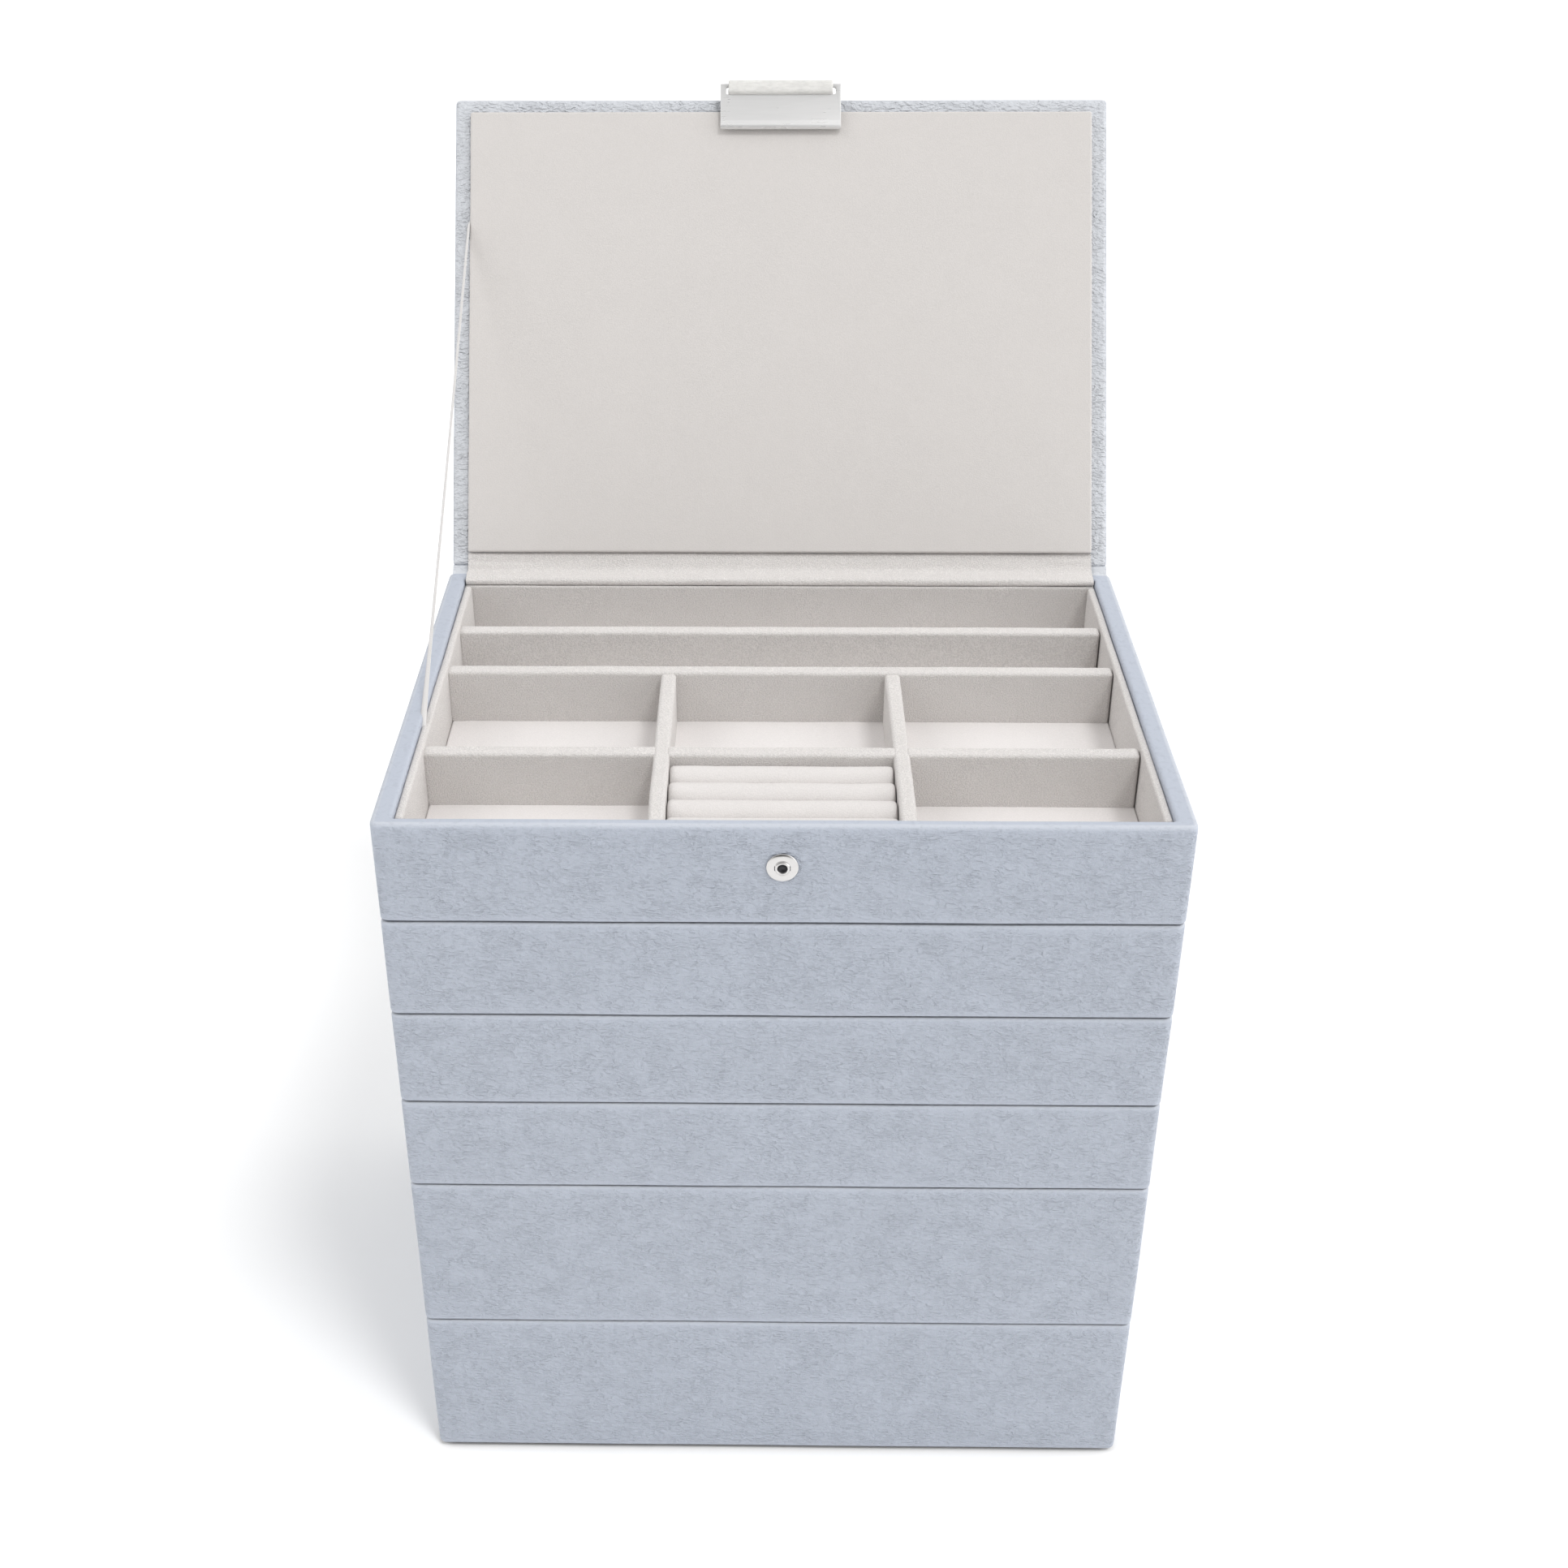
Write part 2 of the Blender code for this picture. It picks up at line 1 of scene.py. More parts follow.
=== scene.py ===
"""Looks of the stacking jewellery box: leatherette trays, velvet linings, an open lid with a ribbon stay and clasp.

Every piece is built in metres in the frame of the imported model, from the boxes of its nodes.
Lid parts are built in lid coordinates: x, u up the lid from the hinge line, n off its inner face.
"""

import json
import math

import bmesh
import bpy
from mathutils import Matrix, Vector, noise


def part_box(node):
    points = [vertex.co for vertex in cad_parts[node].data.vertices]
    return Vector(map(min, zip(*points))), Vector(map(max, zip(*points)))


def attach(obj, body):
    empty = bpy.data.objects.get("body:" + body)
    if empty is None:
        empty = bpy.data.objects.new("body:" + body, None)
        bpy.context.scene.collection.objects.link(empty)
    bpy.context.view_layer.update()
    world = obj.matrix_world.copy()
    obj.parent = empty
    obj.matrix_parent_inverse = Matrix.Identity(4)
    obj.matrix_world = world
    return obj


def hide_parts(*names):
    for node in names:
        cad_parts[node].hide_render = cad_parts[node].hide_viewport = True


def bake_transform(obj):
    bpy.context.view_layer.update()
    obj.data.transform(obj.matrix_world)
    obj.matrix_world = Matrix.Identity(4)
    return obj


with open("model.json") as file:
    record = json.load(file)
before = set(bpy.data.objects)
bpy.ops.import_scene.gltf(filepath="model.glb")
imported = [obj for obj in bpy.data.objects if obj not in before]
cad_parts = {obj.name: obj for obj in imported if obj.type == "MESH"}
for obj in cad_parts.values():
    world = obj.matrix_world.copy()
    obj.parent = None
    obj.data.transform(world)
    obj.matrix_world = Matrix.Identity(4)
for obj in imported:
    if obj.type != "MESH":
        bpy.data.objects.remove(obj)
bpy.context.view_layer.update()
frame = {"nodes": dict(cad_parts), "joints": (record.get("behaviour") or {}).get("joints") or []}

MM = 0.001
TRAYS = range(1, 7)
LINER_GAP = 0.3 * MM

JOINTS = {joint["name"]: joint for joint in frame["joints"]}
HINGE = Vector(JOINTS["lid_hinge"]["pos_m"])
CLASP_AXIS = Vector(JOINTS["clasp_plate_swing"]["pos_m"])
LID_LEAN = math.radians(JOINTS["lid_hinge"]["range_deg"][1] - 90.0)
LID_UP = Vector((0.0, math.sin(LID_LEAN), math.cos(LID_LEAN)))
LID_OUT = Vector((0.0, -math.cos(LID_LEAN), math.sin(LID_LEAN)))
LID_AXES = Matrix((Vector((1.0, 0.0, 0.0)), LID_UP, LID_OUT)).transposed().to_4x4()
LID = Matrix.Translation(HINGE) @ LID_AXES
CLASP = Matrix.Translation(CLASP_AXIS) @ LID_AXES
RIM_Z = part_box("tray_1_shell")[1].z
BACK_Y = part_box("tray_1_shell")[1].y

# Unless it is seeded, noise_vector's offsets come from the clock and differ on every run.
NOISE_SEED = 11
noise.seed_set(NOISE_SEED)


# ---- mesh helpers -------------------------------------------------------------------------


def wander(point, size, reach):
    """A small smooth drift, so that hand-covered boards aren't perfectly true."""
    return noise.noise_vector(point / size) * reach


def add_piece(name, bm, material, body, replaces=(), place=None):
    """Turn a bmesh into a smooth piece that rides on a body and stands for CAD nodes."""
    bmesh.ops.recalc_face_normals(bm, faces=bm.faces)
    if place is not None:
        bm.transform(place)
    mesh = bpy.data.meshes.new(name)
    bm.to_mesh(mesh)
    bm.free()
    mesh.materials.append(material)
    mesh.shade_smooth()
    piece = bpy.data.objects.new(name, mesh)
    bpy.context.scene.collection.objects.link(piece)
    if body is not None:
        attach(piece, body)
    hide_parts(*replaces)
    return piece


def paint(piece, name, value_at):
    """Give a piece a number at each point, which its material reads."""
    attribute = piece.data.attributes.new(name, "FLOAT", "POINT")
    for vert, item in zip(piece.data.vertices, attribute.data):
        item.value = value_at(vert.co)


def loft(bm, rings, caps=True, ring_closed=False):
    """Skin a row of closed loops of points. ring_closed joins the last loop to the first."""
    loops = [[bm.verts.new(point) for point in ring] for ring in rings]
    pairs = list(zip(loops, loops[1:]))
    if ring_closed:
        pairs.append((loops[-1], loops[0]))
    for first, second in pairs:
        count = len(first)
        for i in range(count):
            j = (i + 1) % count
            bm.faces.new((first[i], first[j], second[j], second[i]))
    if caps and not ring_closed:
        bm.faces.new(loops[0])
        bm.faces.new(loops[-1])
    return loops


def axis_steps(low, high, radius, cell):
    """Places along one side of a rounded box: close together in the round ends, even between them."""
    support = 0.3 * MM
    ends = [radius * (1.0 - math.tan(math.radians(angle))) for angle in (45, 30, 15, 0)]
    span = high - low - 2 * radius
    if span > 3 * support:
        ends.append(radius + support)
        span -= 2 * support
    steps = [low + end for end in ends]
    count = max(1, round(span / cell))
    steps += [steps[-1] + span * i / count for i in range(1, count)]
    steps += [high - end for end in reversed(ends)]
    return [step for i, step in enumerate(steps) if i == 0 or step - steps[i - 1] > 1e-7]


def add_soft_box(bm, low, high, radius, cell, shape=None):
    """A box with round edges and corners, as an even grid of quads. shape moves each point."""
    steps = [axis_steps(low[axis], high[axis], radius, cell) for axis in range(3)]
    counts = [len(row) for row in steps]
    verts = {}

    def vert(key):
        if key not in verts:
            point = Vector([steps[axis][key[axis]] for axis in range(3)])
            core = Vector([min(max(point[i], low[i] + radius), high[i] - radius) for i in range(3)])
            out = point - core
            if out.length > 1e-9:
                point = core + out.normalized() * radius
            verts[key] = bm.verts.new(shape(point) if shape else point)
        return verts[key]

    for axis in range(3):
        across, along = [(1, 2), (2, 0), (0, 1)][axis]
        for side in (0, counts[axis] - 1):
            for i in range(counts[across] - 1):
                for j in range(counts[along] - 1):
                    keys = []
                    for step_i, step_j in ((0, 0), (1, 0), (1, 1), (0, 1)):
                        key = [0, 0, 0]
                        key[axis] = side
                        key[across] = i + step_i
                        key[along] = j + step_j
                        keys.append(tuple(key))
                    bm.faces.new([vert(key) for key in keys])
    return bm


def rounded_rectangle(low, high, radius, z):
    """A level loop of points round a rectangle, with the same count whatever its size."""
    corner_steps = 6
    side_steps = {0: 30, 1: 22}
    corners = [(low.x, low.y), (high.x, low.y), (high.x, high.y), (low.x, high.y)]
    inward = [(1, 1), (-1, 1), (-1, -1), (1, -1)]
    points = []
    for number in range(4):
        centre_x = corners[number][0] + inward[number][0] * radius
        centre_y = corners[number][1] + inward[number][1] * radius
        for step in range(corner_steps + 1):
            angle = math.radians(180 + 90 * number + 90 * step / corner_steps)
            points.append(Vector((centre_x + radius * math.cos(angle), centre_y + radius * math.sin(angle), z)))
        following = (number + 1) % 4
        end_angle = math.radians(180 + 90 * following)
        end = Vector((
            corners[following][0] + inward[following][0] * radius + radius * math.cos(end_angle),
            corners[following][1] + inward[following][1] * radius + radius * math.sin(end_angle), z,
        ))
        start = points[-1].copy()
        count = side_steps[number % 2]
        points += [start.lerp(end, i / count) for i in range(1, count)]
    return points


def smooth_path(points, steps):
    """A smooth curve through points, as Catmull-Rom stretches of a few steps each."""
    padded = [points[0] * 2 - points[1]] + points + [points[-1] * 2 - points[-2]]
    path = []
    for i in range(1, len(padded) - 2):
        before, start, end, after = padded[i - 1:i + 3]
        for step in range(steps):
            t = step / steps
            path.append(0.5 * (
                2 * start + (end - before) * t + (2 * before - 5 * start + 4 * end - after) * t ** 2
                + (3 * start - before - 3 * end + after) * t ** 3
            ))
    return path + [points[-1]]


def band_section(path, thickness):
    """The closed outline of a band that follows a path of (a, b) points, half its thickness each side."""
    left, right = [], []
    for i, point in enumerate(path):
        tangent = (path[min(i + 1, len(path) - 1)] - path[max(i - 1, 0)]).normalized()
        side = Vector((-tangent.y, tangent.x)) * thickness / 2
        if i in (0, len(path) - 1):
            side *= 0.6
        left.append(point + side)
        right.append(point - side)
    return left + right[::-1]


def turned(profile, steps):
    """Revolve (radius, height) points about Z. The profile starts and ends on the axis."""
    bm = bmesh.new()
    rings = []
    for radius, height in profile:
        if radius == 0.0:
            rings.append([bm.verts.new((0.0, 0.0, height))])
            continue
        angles = [2 * math.pi * i / steps for i in range(steps)]
        rings.append([bm.verts.new((radius * math.cos(a), radius * math.sin(a), height)) for a in angles])
    for first, second in zip(rings, rings[1:]):
        for i in range(steps):
            j = (i + 1) % steps
            corners = [first[i % len(first)], first[j % len(first)], second[j % len(second)], second[i % len(second)]]
            bm.faces.new(list(dict.fromkeys(corners)))
    return bm


def lid_box(node):
    """A CAD node's lowest and highest corners in lid coordinates."""
    inverse = LID.inverted()
    points = [inverse @ vert.co for vert in frame["nodes"][node].data.vertices]
    low = Vector([min(point[axis] for point in points) for axis in range(3)])
    high = Vector([max(point[axis] for point in points) for axis in range(3)])
    return low, high


# ---- materials ----------------------------------------------------------------------------


def new_material(name, roughness, specular=0.5, metallic=0.0):
    """A node material and its shader, with the constants set on the shader itself."""
    material = bpy.data.materials.new(name)
    material.use_nodes = True
    shader = material.node_tree.nodes["Principled BSDF"]
    shader.inputs["Roughness"].default_value = roughness
    shader.inputs["Specular IOR Level"].default_value = specular
    shader.inputs["Metallic"].default_value = metallic
    return material, shader


def add_node(tree, kind, inputs=None, **settings):
    """A node with its settings, and with its inputs set to values or linked to sockets."""
    item = tree.nodes.new(kind)
    for key, value in settings.items():
        setattr(item, key, value)
    for key, value in (inputs or {}).items():
        if isinstance(value, bpy.types.NodeSocket):
            tree.links.new(value, item.inputs[key])
        else:
            item.inputs[key].default_value = value
    return item


def object_coordinates(tree, stretch):
    """The piece's own coordinates, stretched so that grain is longer one way."""
    coords = add_node(tree, "ShaderNodeTexCoord")
    return add_node(tree, "ShaderNodeMapping", {"Vector": coords.outputs["Object"], "Scale": stretch}).outputs[0]


def noise_value(tree, vector, scale, detail=3.0, roughness=0.55):
    """One band of noise, from 0 to 1. Scale is features per metre."""
    inputs = {"Vector": vector, "Scale": scale, "Detail": detail, "Roughness": roughness}
    return add_node(tree, "ShaderNodeTexNoise", inputs).outputs[0]


def math_value(tree, operation, first, second):
    """Two numbers combined."""
    return add_node(tree, "ShaderNodeMath", {0: first, 1: second}, operation=operation).outputs[0]


def remap(tree, value, low, high, new_low, new_high):
    """A number carried from one range to another, smoothly and within bounds."""
    inputs = {"Value": value, "From Min": low, "From Max": high, "To Min": new_low, "To Max": new_high}
    return add_node(tree, "ShaderNodeMapRange", inputs).outputs[0]


def mix_color(tree, factor, first, second):
    """Two colours mixed by a number."""
    item = tree.nodes.new("ShaderNodeMix")
    item.data_type = "RGBA"
    tree.links.new(factor, item.inputs["Factor"])
    for key, value in (("A", first), ("B", second)):
        socket = [s for s in item.inputs if s.name == key and s.type == "RGBA"][0]
        if isinstance(value, bpy.types.NodeSocket):
            tree.links.new(value, socket)
        else:
            socket.default_value = (*value, 1.0)
    return [s for s in item.outputs if s.type == "RGBA"][0]


def add_bump(tree, shader, height, strength, distance):
    """Fine relief from a height."""
    bump = add_node(tree, "ShaderNodeBump", {"Height": height, "Strength": strength, "Distance": distance})
    tree.links.new(bump.outputs[0], shader.inputs["Normal"])


def shade(color, factor):
    """A colour made lighter or darker."""
    return tuple(min(1.0, channel * factor) for channel in color)


def leatherette_material():
    """Matt leatherette: short level creases with painted shade in their hollows, smooth where it is pulled taut,
    lighter along rims and borders as a painted highlight, and near-black underneath as painted shade.
    """
    color = (0.446, 0.481, 0.552)
    highlight_color = (0.620, 0.637, 0.668)
    seam_shade_color = (0.010, 0.014, 0.036)
    material, shader = new_material("leatherette", 0.50, 0.42)
    tree = material.node_tree
    plain = object_coordinates(tree, (1.0, 1.0, 1.0))
    level = object_coordinates(tree, (0.42, 0.42, 1.0))
    drift = add_node(tree, "ShaderNodeTexNoise", {"Vector": plain, "Scale": 260.0, "Detail": 1.0}).outputs["Color"]
    push = add_node(tree, "ShaderNodeVectorMath", {0: drift, "Scale": 0.0014}, operation="SCALE").outputs[0]
    bent = add_node(tree, "ShaderNodeVectorMath", {0: level, 1: push}, operation="ADD").outputs[0]
    folds = remap(tree, noise_value(tree, bent, 1250.0, 1.5, 0.5), 0.30, 0.62, 0.0, 1.0)
    grain = noise_value(tree, plain, 2600.0, 1.0, 0.5)
    relief = math_value(tree, "ADD", folds, math_value(tree, "MULTIPLY", grain, 0.5))
    taut = add_node(tree, "ShaderNodeAttribute", attribute_name="taut").outputs["Fac"]
    patches = remap(tree, noise_value(tree, plain, 150.0, 2.0), 0.35, 0.62, 0.60, 1.0)
    loose = math_value(tree, "MULTIPLY", patches, remap(tree, taut, 0.0, 1.0, 1.0, 0.12))
    height = math_value(tree, "MULTIPLY", relief, loose)
    pale = add_node(tree, "ShaderNodeAttribute", attribute_name="pale").outputs["Fac"]
    # Painted shade: on the undersides, the foot edges and the plinths the colour turns near-black navy, for the dark
    # seam between stacked trays.
    seam_shade = add_node(tree, "ShaderNodeAttribute", attribute_name="seam_shade").outputs["Fac"]
    # Painted highlight: where the pale mark is set, the colour turns lighter, for light falling on the rims, the hinge
    # web's top and the lid's inner border.
    base = mix_color(tree, pale, color, highlight_color)
    clouds = remap(tree, noise_value(tree, plain, 30.0, 2.0), 0.3, 0.7, 0.0, 0.12)
    tint = mix_color(tree, clouds, base, shade(color, 1.08))
    # Painted shade: the colour darkens towards half its value in the low parts of the folds.
    crease_shaded = mix_color(tree, remap(tree, folds, 0.0, 0.5, 0.12, 0.0), tint, shade(color, 0.50))
    tree.links.new(mix_color(tree, seam_shade, crease_shaded, seam_shade_color), shader.inputs["Base Color"])
    tree.links.new(remap(tree, folds, 0.0, 1.0, 0.62, 0.48), shader.inputs["Roughness"])
    add_bump(tree, shader, height, 1.0, 0.60 * MM)
    return material


def velvet_material(name, color, relief):
    """Short-nap velvet: worm-like nap, faint clouds where the nap leans, and sheen. The nap's colour is painted shade
    in its low parts and painted highlight on its high parts.
    """
    material, shader = new_material(name, 0.92, 0.15)
    shader.inputs["Sheen Weight"].default_value = 0.2
    shader.inputs["Sheen Roughness"].default_value = 0.45
    shader.inputs["Sheen Tint"].default_value = (1.0, 0.98, 0.96, 1.0)
    tree = material.node_tree
    plain = object_coordinates(tree, (1.0, 1.0, 1.0))
    nap = noise_value(tree, plain, 2300.0, 2.0, 0.55)
    worms = remap(tree, nap, 0.38, 0.62, 0.0, 1.0)
    clouds = noise_value(tree, plain, 75.0, 3.0)
    # Painted shade and highlight: the nap is darker in the low parts of its relief and lighter on its high parts.
    nap_shaded = mix_color(tree, worms, shade(color, 1.0 - 0.13 * relief), shade(color, 1.0 + 0.08 * relief))
    tint = mix_color(tree, remap(tree, clouds, 0.35, 0.65, 0.0, 0.30), nap_shaded, shade(color, 1.04))
    tree.links.new(tint, shader.inputs["Base Color"])
    add_bump(tree, shader, worms, relief, 0.13 * MM)
    return material


def grey_leather_material():
    """Smooth pale leather of the clasp's loop, with fine creases round the bend, painted darker in their low parts as
    shade.
    """
    color = (0.688, 0.679, 0.656)
    material, shader = new_material("grey_leather", 0.5, 0.4)
    tree = material.node_tree
    wrapped = object_coordinates(tree, (0.5, 1.6, 1.6))
    creases = noise_value(tree, wrapped, 700.0, 4.0, 0.6)
    # Painted shade: the colour darkens in the low parts of the creases.
    tint = mix_color(tree, remap(tree, creases, 0.3, 0.6, 0.0, 1.0), shade(color, 0.88), shade(color, 1.03))
    tree.links.new(tint, shader.inputs["Base Color"])
    tree.links.new(remap(tree, creases, 0.2, 0.8, 0.60, 0.42), shader.inputs["Roughness"])
    add_bump(tree, shader, creases, 0.4, 0.4 * MM)
    return material


def ribbon_material():
    """Woven ribbon: a fine diagonal of threads along its length."""
    color = (0.714, 0.696, 0.683)
    material, shader = new_material("ribbon", 0.6, 0.3)
    shader.inputs["Sheen Weight"].default_value = 0.3
    tree = material.node_tree
    plain = object_coordinates(tree, (1.0, 1.0, 1.0))
    threads = add_node(
        tree, "ShaderNodeTexWave", {"Vector": plain, "Scale": 760.0, "Distortion": 2.5, "Detail": 2.0},
        wave_type="BANDS", bands_direction="DIAGONAL",
    ).outputs["Fac"]
    tint = mix_color(tree, threads, shade(color, 0.93), shade(color, 1.04))
    tree.links.new(tint, shader.inputs["Base Color"])
    add_bump(tree, shader, threads, 0.4, 0.08 * MM)
    return material


def steel_material(name, color, roughness, stretch, relief, metallic=1.0):
    """Satin plated metal, with fine lines along its brushing and faint smudges in its gloss."""
    material, shader = new_material(name, roughness, 0.5, metallic)
    tree = material.node_tree
    brushed = object_coordinates(tree, stretch)
    lines = noise_value(tree, brushed, 900.0, 3.0, 0.6)
    smudges = noise_value(tree, object_coordinates(tree, (1.0, 1.0, 1.0)), 90.0, 2.0)
    tint = mix_color(tree, lines, shade(color, 0.95), shade(color, 1.04))
    tree.links.new(tint, shader.inputs["Base Color"])
    gloss = math_value(tree, "ADD", lines, smudges)
    tree.links.new(remap(tree, gloss, 0.6, 1.4, roughness - 0.06, roughness + 0.08), shader.inputs["Roughness"])
    add_bump(tree, shader, lines, relief, 0.1 * MM)
    return material


def make_materials():
    """Every material of the object, by name."""
    return {
        "leatherette": leatherette_material(),
        "velvet": velvet_material("velvet", (0.690, 0.664, 0.647), 1.0),
        # Copies of the one velvet: lighter for the tray floors as painted light, darker for the lid panel and the ring
        # rolls as painted shade.
        "floor_velvet": velvet_material("floor_velvet", (0.755, 0.727, 0.716), 0.3),
        "panel_velvet": velvet_material("panel_velvet", (0.598, 0.573, 0.555), 0.25),
        "roll_velvet": velvet_material("roll_velvet", (0.660, 0.634, 0.620), 0.4),
        "grey_leather": grey_leather_material(),
        "ribbon": ribbon_material(),
        "plate_steel": steel_material("plate_steel", (0.750, 0.746, 0.741), 0.30, (0.06, 1.0, 1.0), 0.08, 0.45),
        "snap_steel": steel_material("snap_steel", (0.640, 0.630, 0.622), 0.18, (1.0, 1.0, 1.0), 0.05),
        "snap_hole_shade_steel": steel_material("snap_hole_shade_steel", (0.06, 0.06, 0.065), 0.45, (1.0, 1.0, 1.0), 0.10),
    }


# ---- trays --------------------------------------------------------------------------------

CORNER_RADIUS = 2.8 * MM
RIM_RADIUS = 1.3 * MM
INNER_RIM_RADIUS = 1.0 * MM
FOOT_RADIUS = 0.5 * MM
TAUT_REACH = 2.6 * MM
DIVIDER_TUCK = 1.0 * MM
DIVIDER_SINK = 1.4 * MM


def tray_shell(tray, material):
    """Leatherette-covered box: rounded corners, a soft rim and a rounded foot round a velvet pocket."""
    node = f"tray_{tray}_shell"
    low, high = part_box(node)
    gap = Vector((LINER_GAP, LINER_GAP))
    liner_low, liner_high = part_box(f"tray_{tray}_liner")
    pocket_low = liner_low.xy - gap
    pocket_high = liner_high.xy + gap
    rings = []

    def outside(inset, z):
        shift = Vector((inset, inset))
        rings.append(rounded_rectangle(low.xy + shift, high.xy - shift, max(CORNER_RADIUS - inset, 0.5 * MM), z))

    def inside(spread, z):
        shift = Vector((spread, spread))
        rings.append(rounded_rectangle(pocket_low - shift, pocket_high + shift, 0.8 * MM + spread, z))

    bends = [math.radians(angle) for angle in (0, 22.5, 45, 67.5, 90)]
    outside(14 * MM, low.z)
    outside(FOOT_RADIUS + 0.5 * MM, low.z)
    for bend in bends:
        outside(FOOT_RADIUS * (1 - math.sin(bend)), low.z + FOOT_RADIUS * (1 - math.cos(bend)))
    wall_low = low.z + FOOT_RADIUS
    wall_high = high.z - RIM_RADIUS
    rows = max(4, round((wall_high - wall_low) / (8 * MM)))
    outside(0.0, wall_low + 0.4 * MM)
    outside(0.0, wall_low + TAUT_REACH)
    for row in range(1, rows):
        outside(0.0, wall_low + (wall_high - wall_low) * row / rows)
    outside(0.0, wall_high - TAUT_REACH)
    outside(0.0, wall_high - 0.4 * MM)
    for bend in bends:
        outside(RIM_RADIUS * (1 - math.cos(bend)), wall_high + RIM_RADIUS * math.sin(bend))
    outside(RIM_RADIUS + 0.4 * MM, high.z)
    inside(INNER_RIM_RADIUS + 0.4 * MM, high.z)
    for bend in bends:
        inside(INNER_RIM_RADIUS * (1 - math.sin(bend)), high.z - INNER_RIM_RADIUS * (1 - math.cos(bend)))
    inside(0.0, high.z - INNER_RIM_RADIUS - 0.4 * MM)
    inside(0.0, (high.z + liner_low.z) / 2)
    inside(0.0, liner_low.z - LINER_GAP)
    drifting = [[point + wander(point + Vector((tray, 0, 0)), 42 * MM, 0.16 * MM) for point in ring] for ring in rings]
    bm = bmesh.new()
    loft(bm, drifting)
    piece = add_piece(f"{node}_leather", bm, material, f"tray_{tray}", [node])

    def inset(point):
        return min(point.x - low.x, high.x - point.x, point.y - low.y, high.y - point.y)

    def taut(point):
        return max(0.0, 1.0 - min(point.z - low.z, high.z - point.z) / (FOOT_RADIUS + TAUT_REACH))

    # Painted highlight: the rounded top of the rim is made paler, most along its outer edge, where light falls on it.
    def pale(point):
        rise = min(1.0, max(0.0, (point.z - wall_high) / RIM_RADIUS))
        return rise * (0.06 if inset(point) > 1.2 * RIM_RADIUS else 0.46)

    # Painted shade: the underside and the lowest edge of the foot are marked near-black, for the seam under the tray.
    def seam_shade(point):
        return 1.0 if point.z < low.z + 0.25 * MM else 0.0

    paint(piece, "taut", taut)
    paint(piece, "pale", pale)
    paint(piece, "seam_shade", seam_shade)
    return piece


def tray_plinth(tray, material):
    """Board under the tray, its cover near-black navy as painted shade in the seam between trays."""
    node = f"tray_{tray}_plinth"
    low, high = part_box(node)
    bm = add_soft_box(bmesh.new(), low, high, 0.7 * MM, 12 * MM)
    piece = add_piece(f"{node}_cover", bm, material, f"tray_{tray}", [node])
    # Painted shade: the whole plinth cover is marked near-black.
    paint(piece, "seam_shade", lambda point: 1.0)
    return piece


def tray_liner(tray, material):
    """Four velvet-wrapped boards against the walls. The side boards stand between the front and back ones."""
    node = f"tray_{tray}_liner"
    low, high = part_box(node)
    floor_low, floor_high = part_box(f"tray_{tray}_floor_pad")
    room_low = floor_low.xy - Vector((LINER_GAP, LINER_GAP))
    room_high = floor_high.xy + Vector((LINER_GAP, LINER_GAP))
    joint = 0.15 * MM
    tuck = Vector((0.28 * MM, 0.28 * MM))
    low = Vector((*(low.xy - tuck), low.z))
    high = Vector((*(high.xy + tuck), high.z))
    boards = [
        ((low.x, low.y), (high.x, room_low.y)),
        ((low.x, room_high.y), (high.x, high.y)),
        ((low.x, room_low.y + joint), (room_low.x, room_high.y - joint)),
        ((room_high.x, room_low.y + joint), (high.x, room_high.y - joint)),
    ]
    bm = bmesh.new()
    for board_low, board_high in boards:
        add_soft_box(
            bm, Vector((*board_low, low.z)), Vector((*board_high, high.z)), 0.9 * MM, 7 * MM,
            lambda point: point + wander(point, 18 * MM, 0.16 * MM),
        )
    return add_piece(f"{node}_velvet", bm, material, f"tray_{tray}", [node])


def floor_pad(tray, material):
    """Padded velvet floor, a little fuller in the middle than along its edges."""
    node = f"tray_{tray}_floor_pad"
    low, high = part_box(node)
    low -= Vector((0.25 * MM, 0.25 * MM, 0.0))
    high += Vector((0.25 * MM, 0.25 * MM, 0.0))
    fall = 0.3 * MM

    def shape(point):
        edge = min(point.x - low.x, high.x - point.x, point.y - low.y, high.y - point.y)
        drop = fall * math.exp(-edge / (5 * MM)) if point.z > (low.z + high.z) / 2 else 0.0
        return point - Vector((0, 0, drop)) + wander(point, 25 * MM, 0.12 * MM)

    bm = add_soft_box(bmesh.new(), low, high, 0.8 * MM, 7 * MM, shape)
    piece = add_piece(f"{node}_velvet", bm, material, f"tray_{tray}", [node])
    return piece


def divider_nodes(tray, kind):
    """The tray's dividers of a kind, cross or long, in order."""
    return sorted(name for name in frame["nodes"] if name.startswith(f"tray_{tray}_{kind}_divider"))


def velvet_divider(tray, node, boxes, material):
    """A velvet-wrapped board with a rounded top, its foot sunk in the floor pad. boxes are its lengths."""
    bm = bmesh.new()
    for low, high in boxes:
        add_soft_box(
            bm, low - Vector((0.0, 0.0, DIVIDER_SINK)), high, 1.25 * MM, 7 * MM,
            lambda point: point + wander(point, 16 * MM, 0.18 * MM),
        )
    return add_piece(f"{node}_velvet", bm, material, f"tray_{tray}", [node])


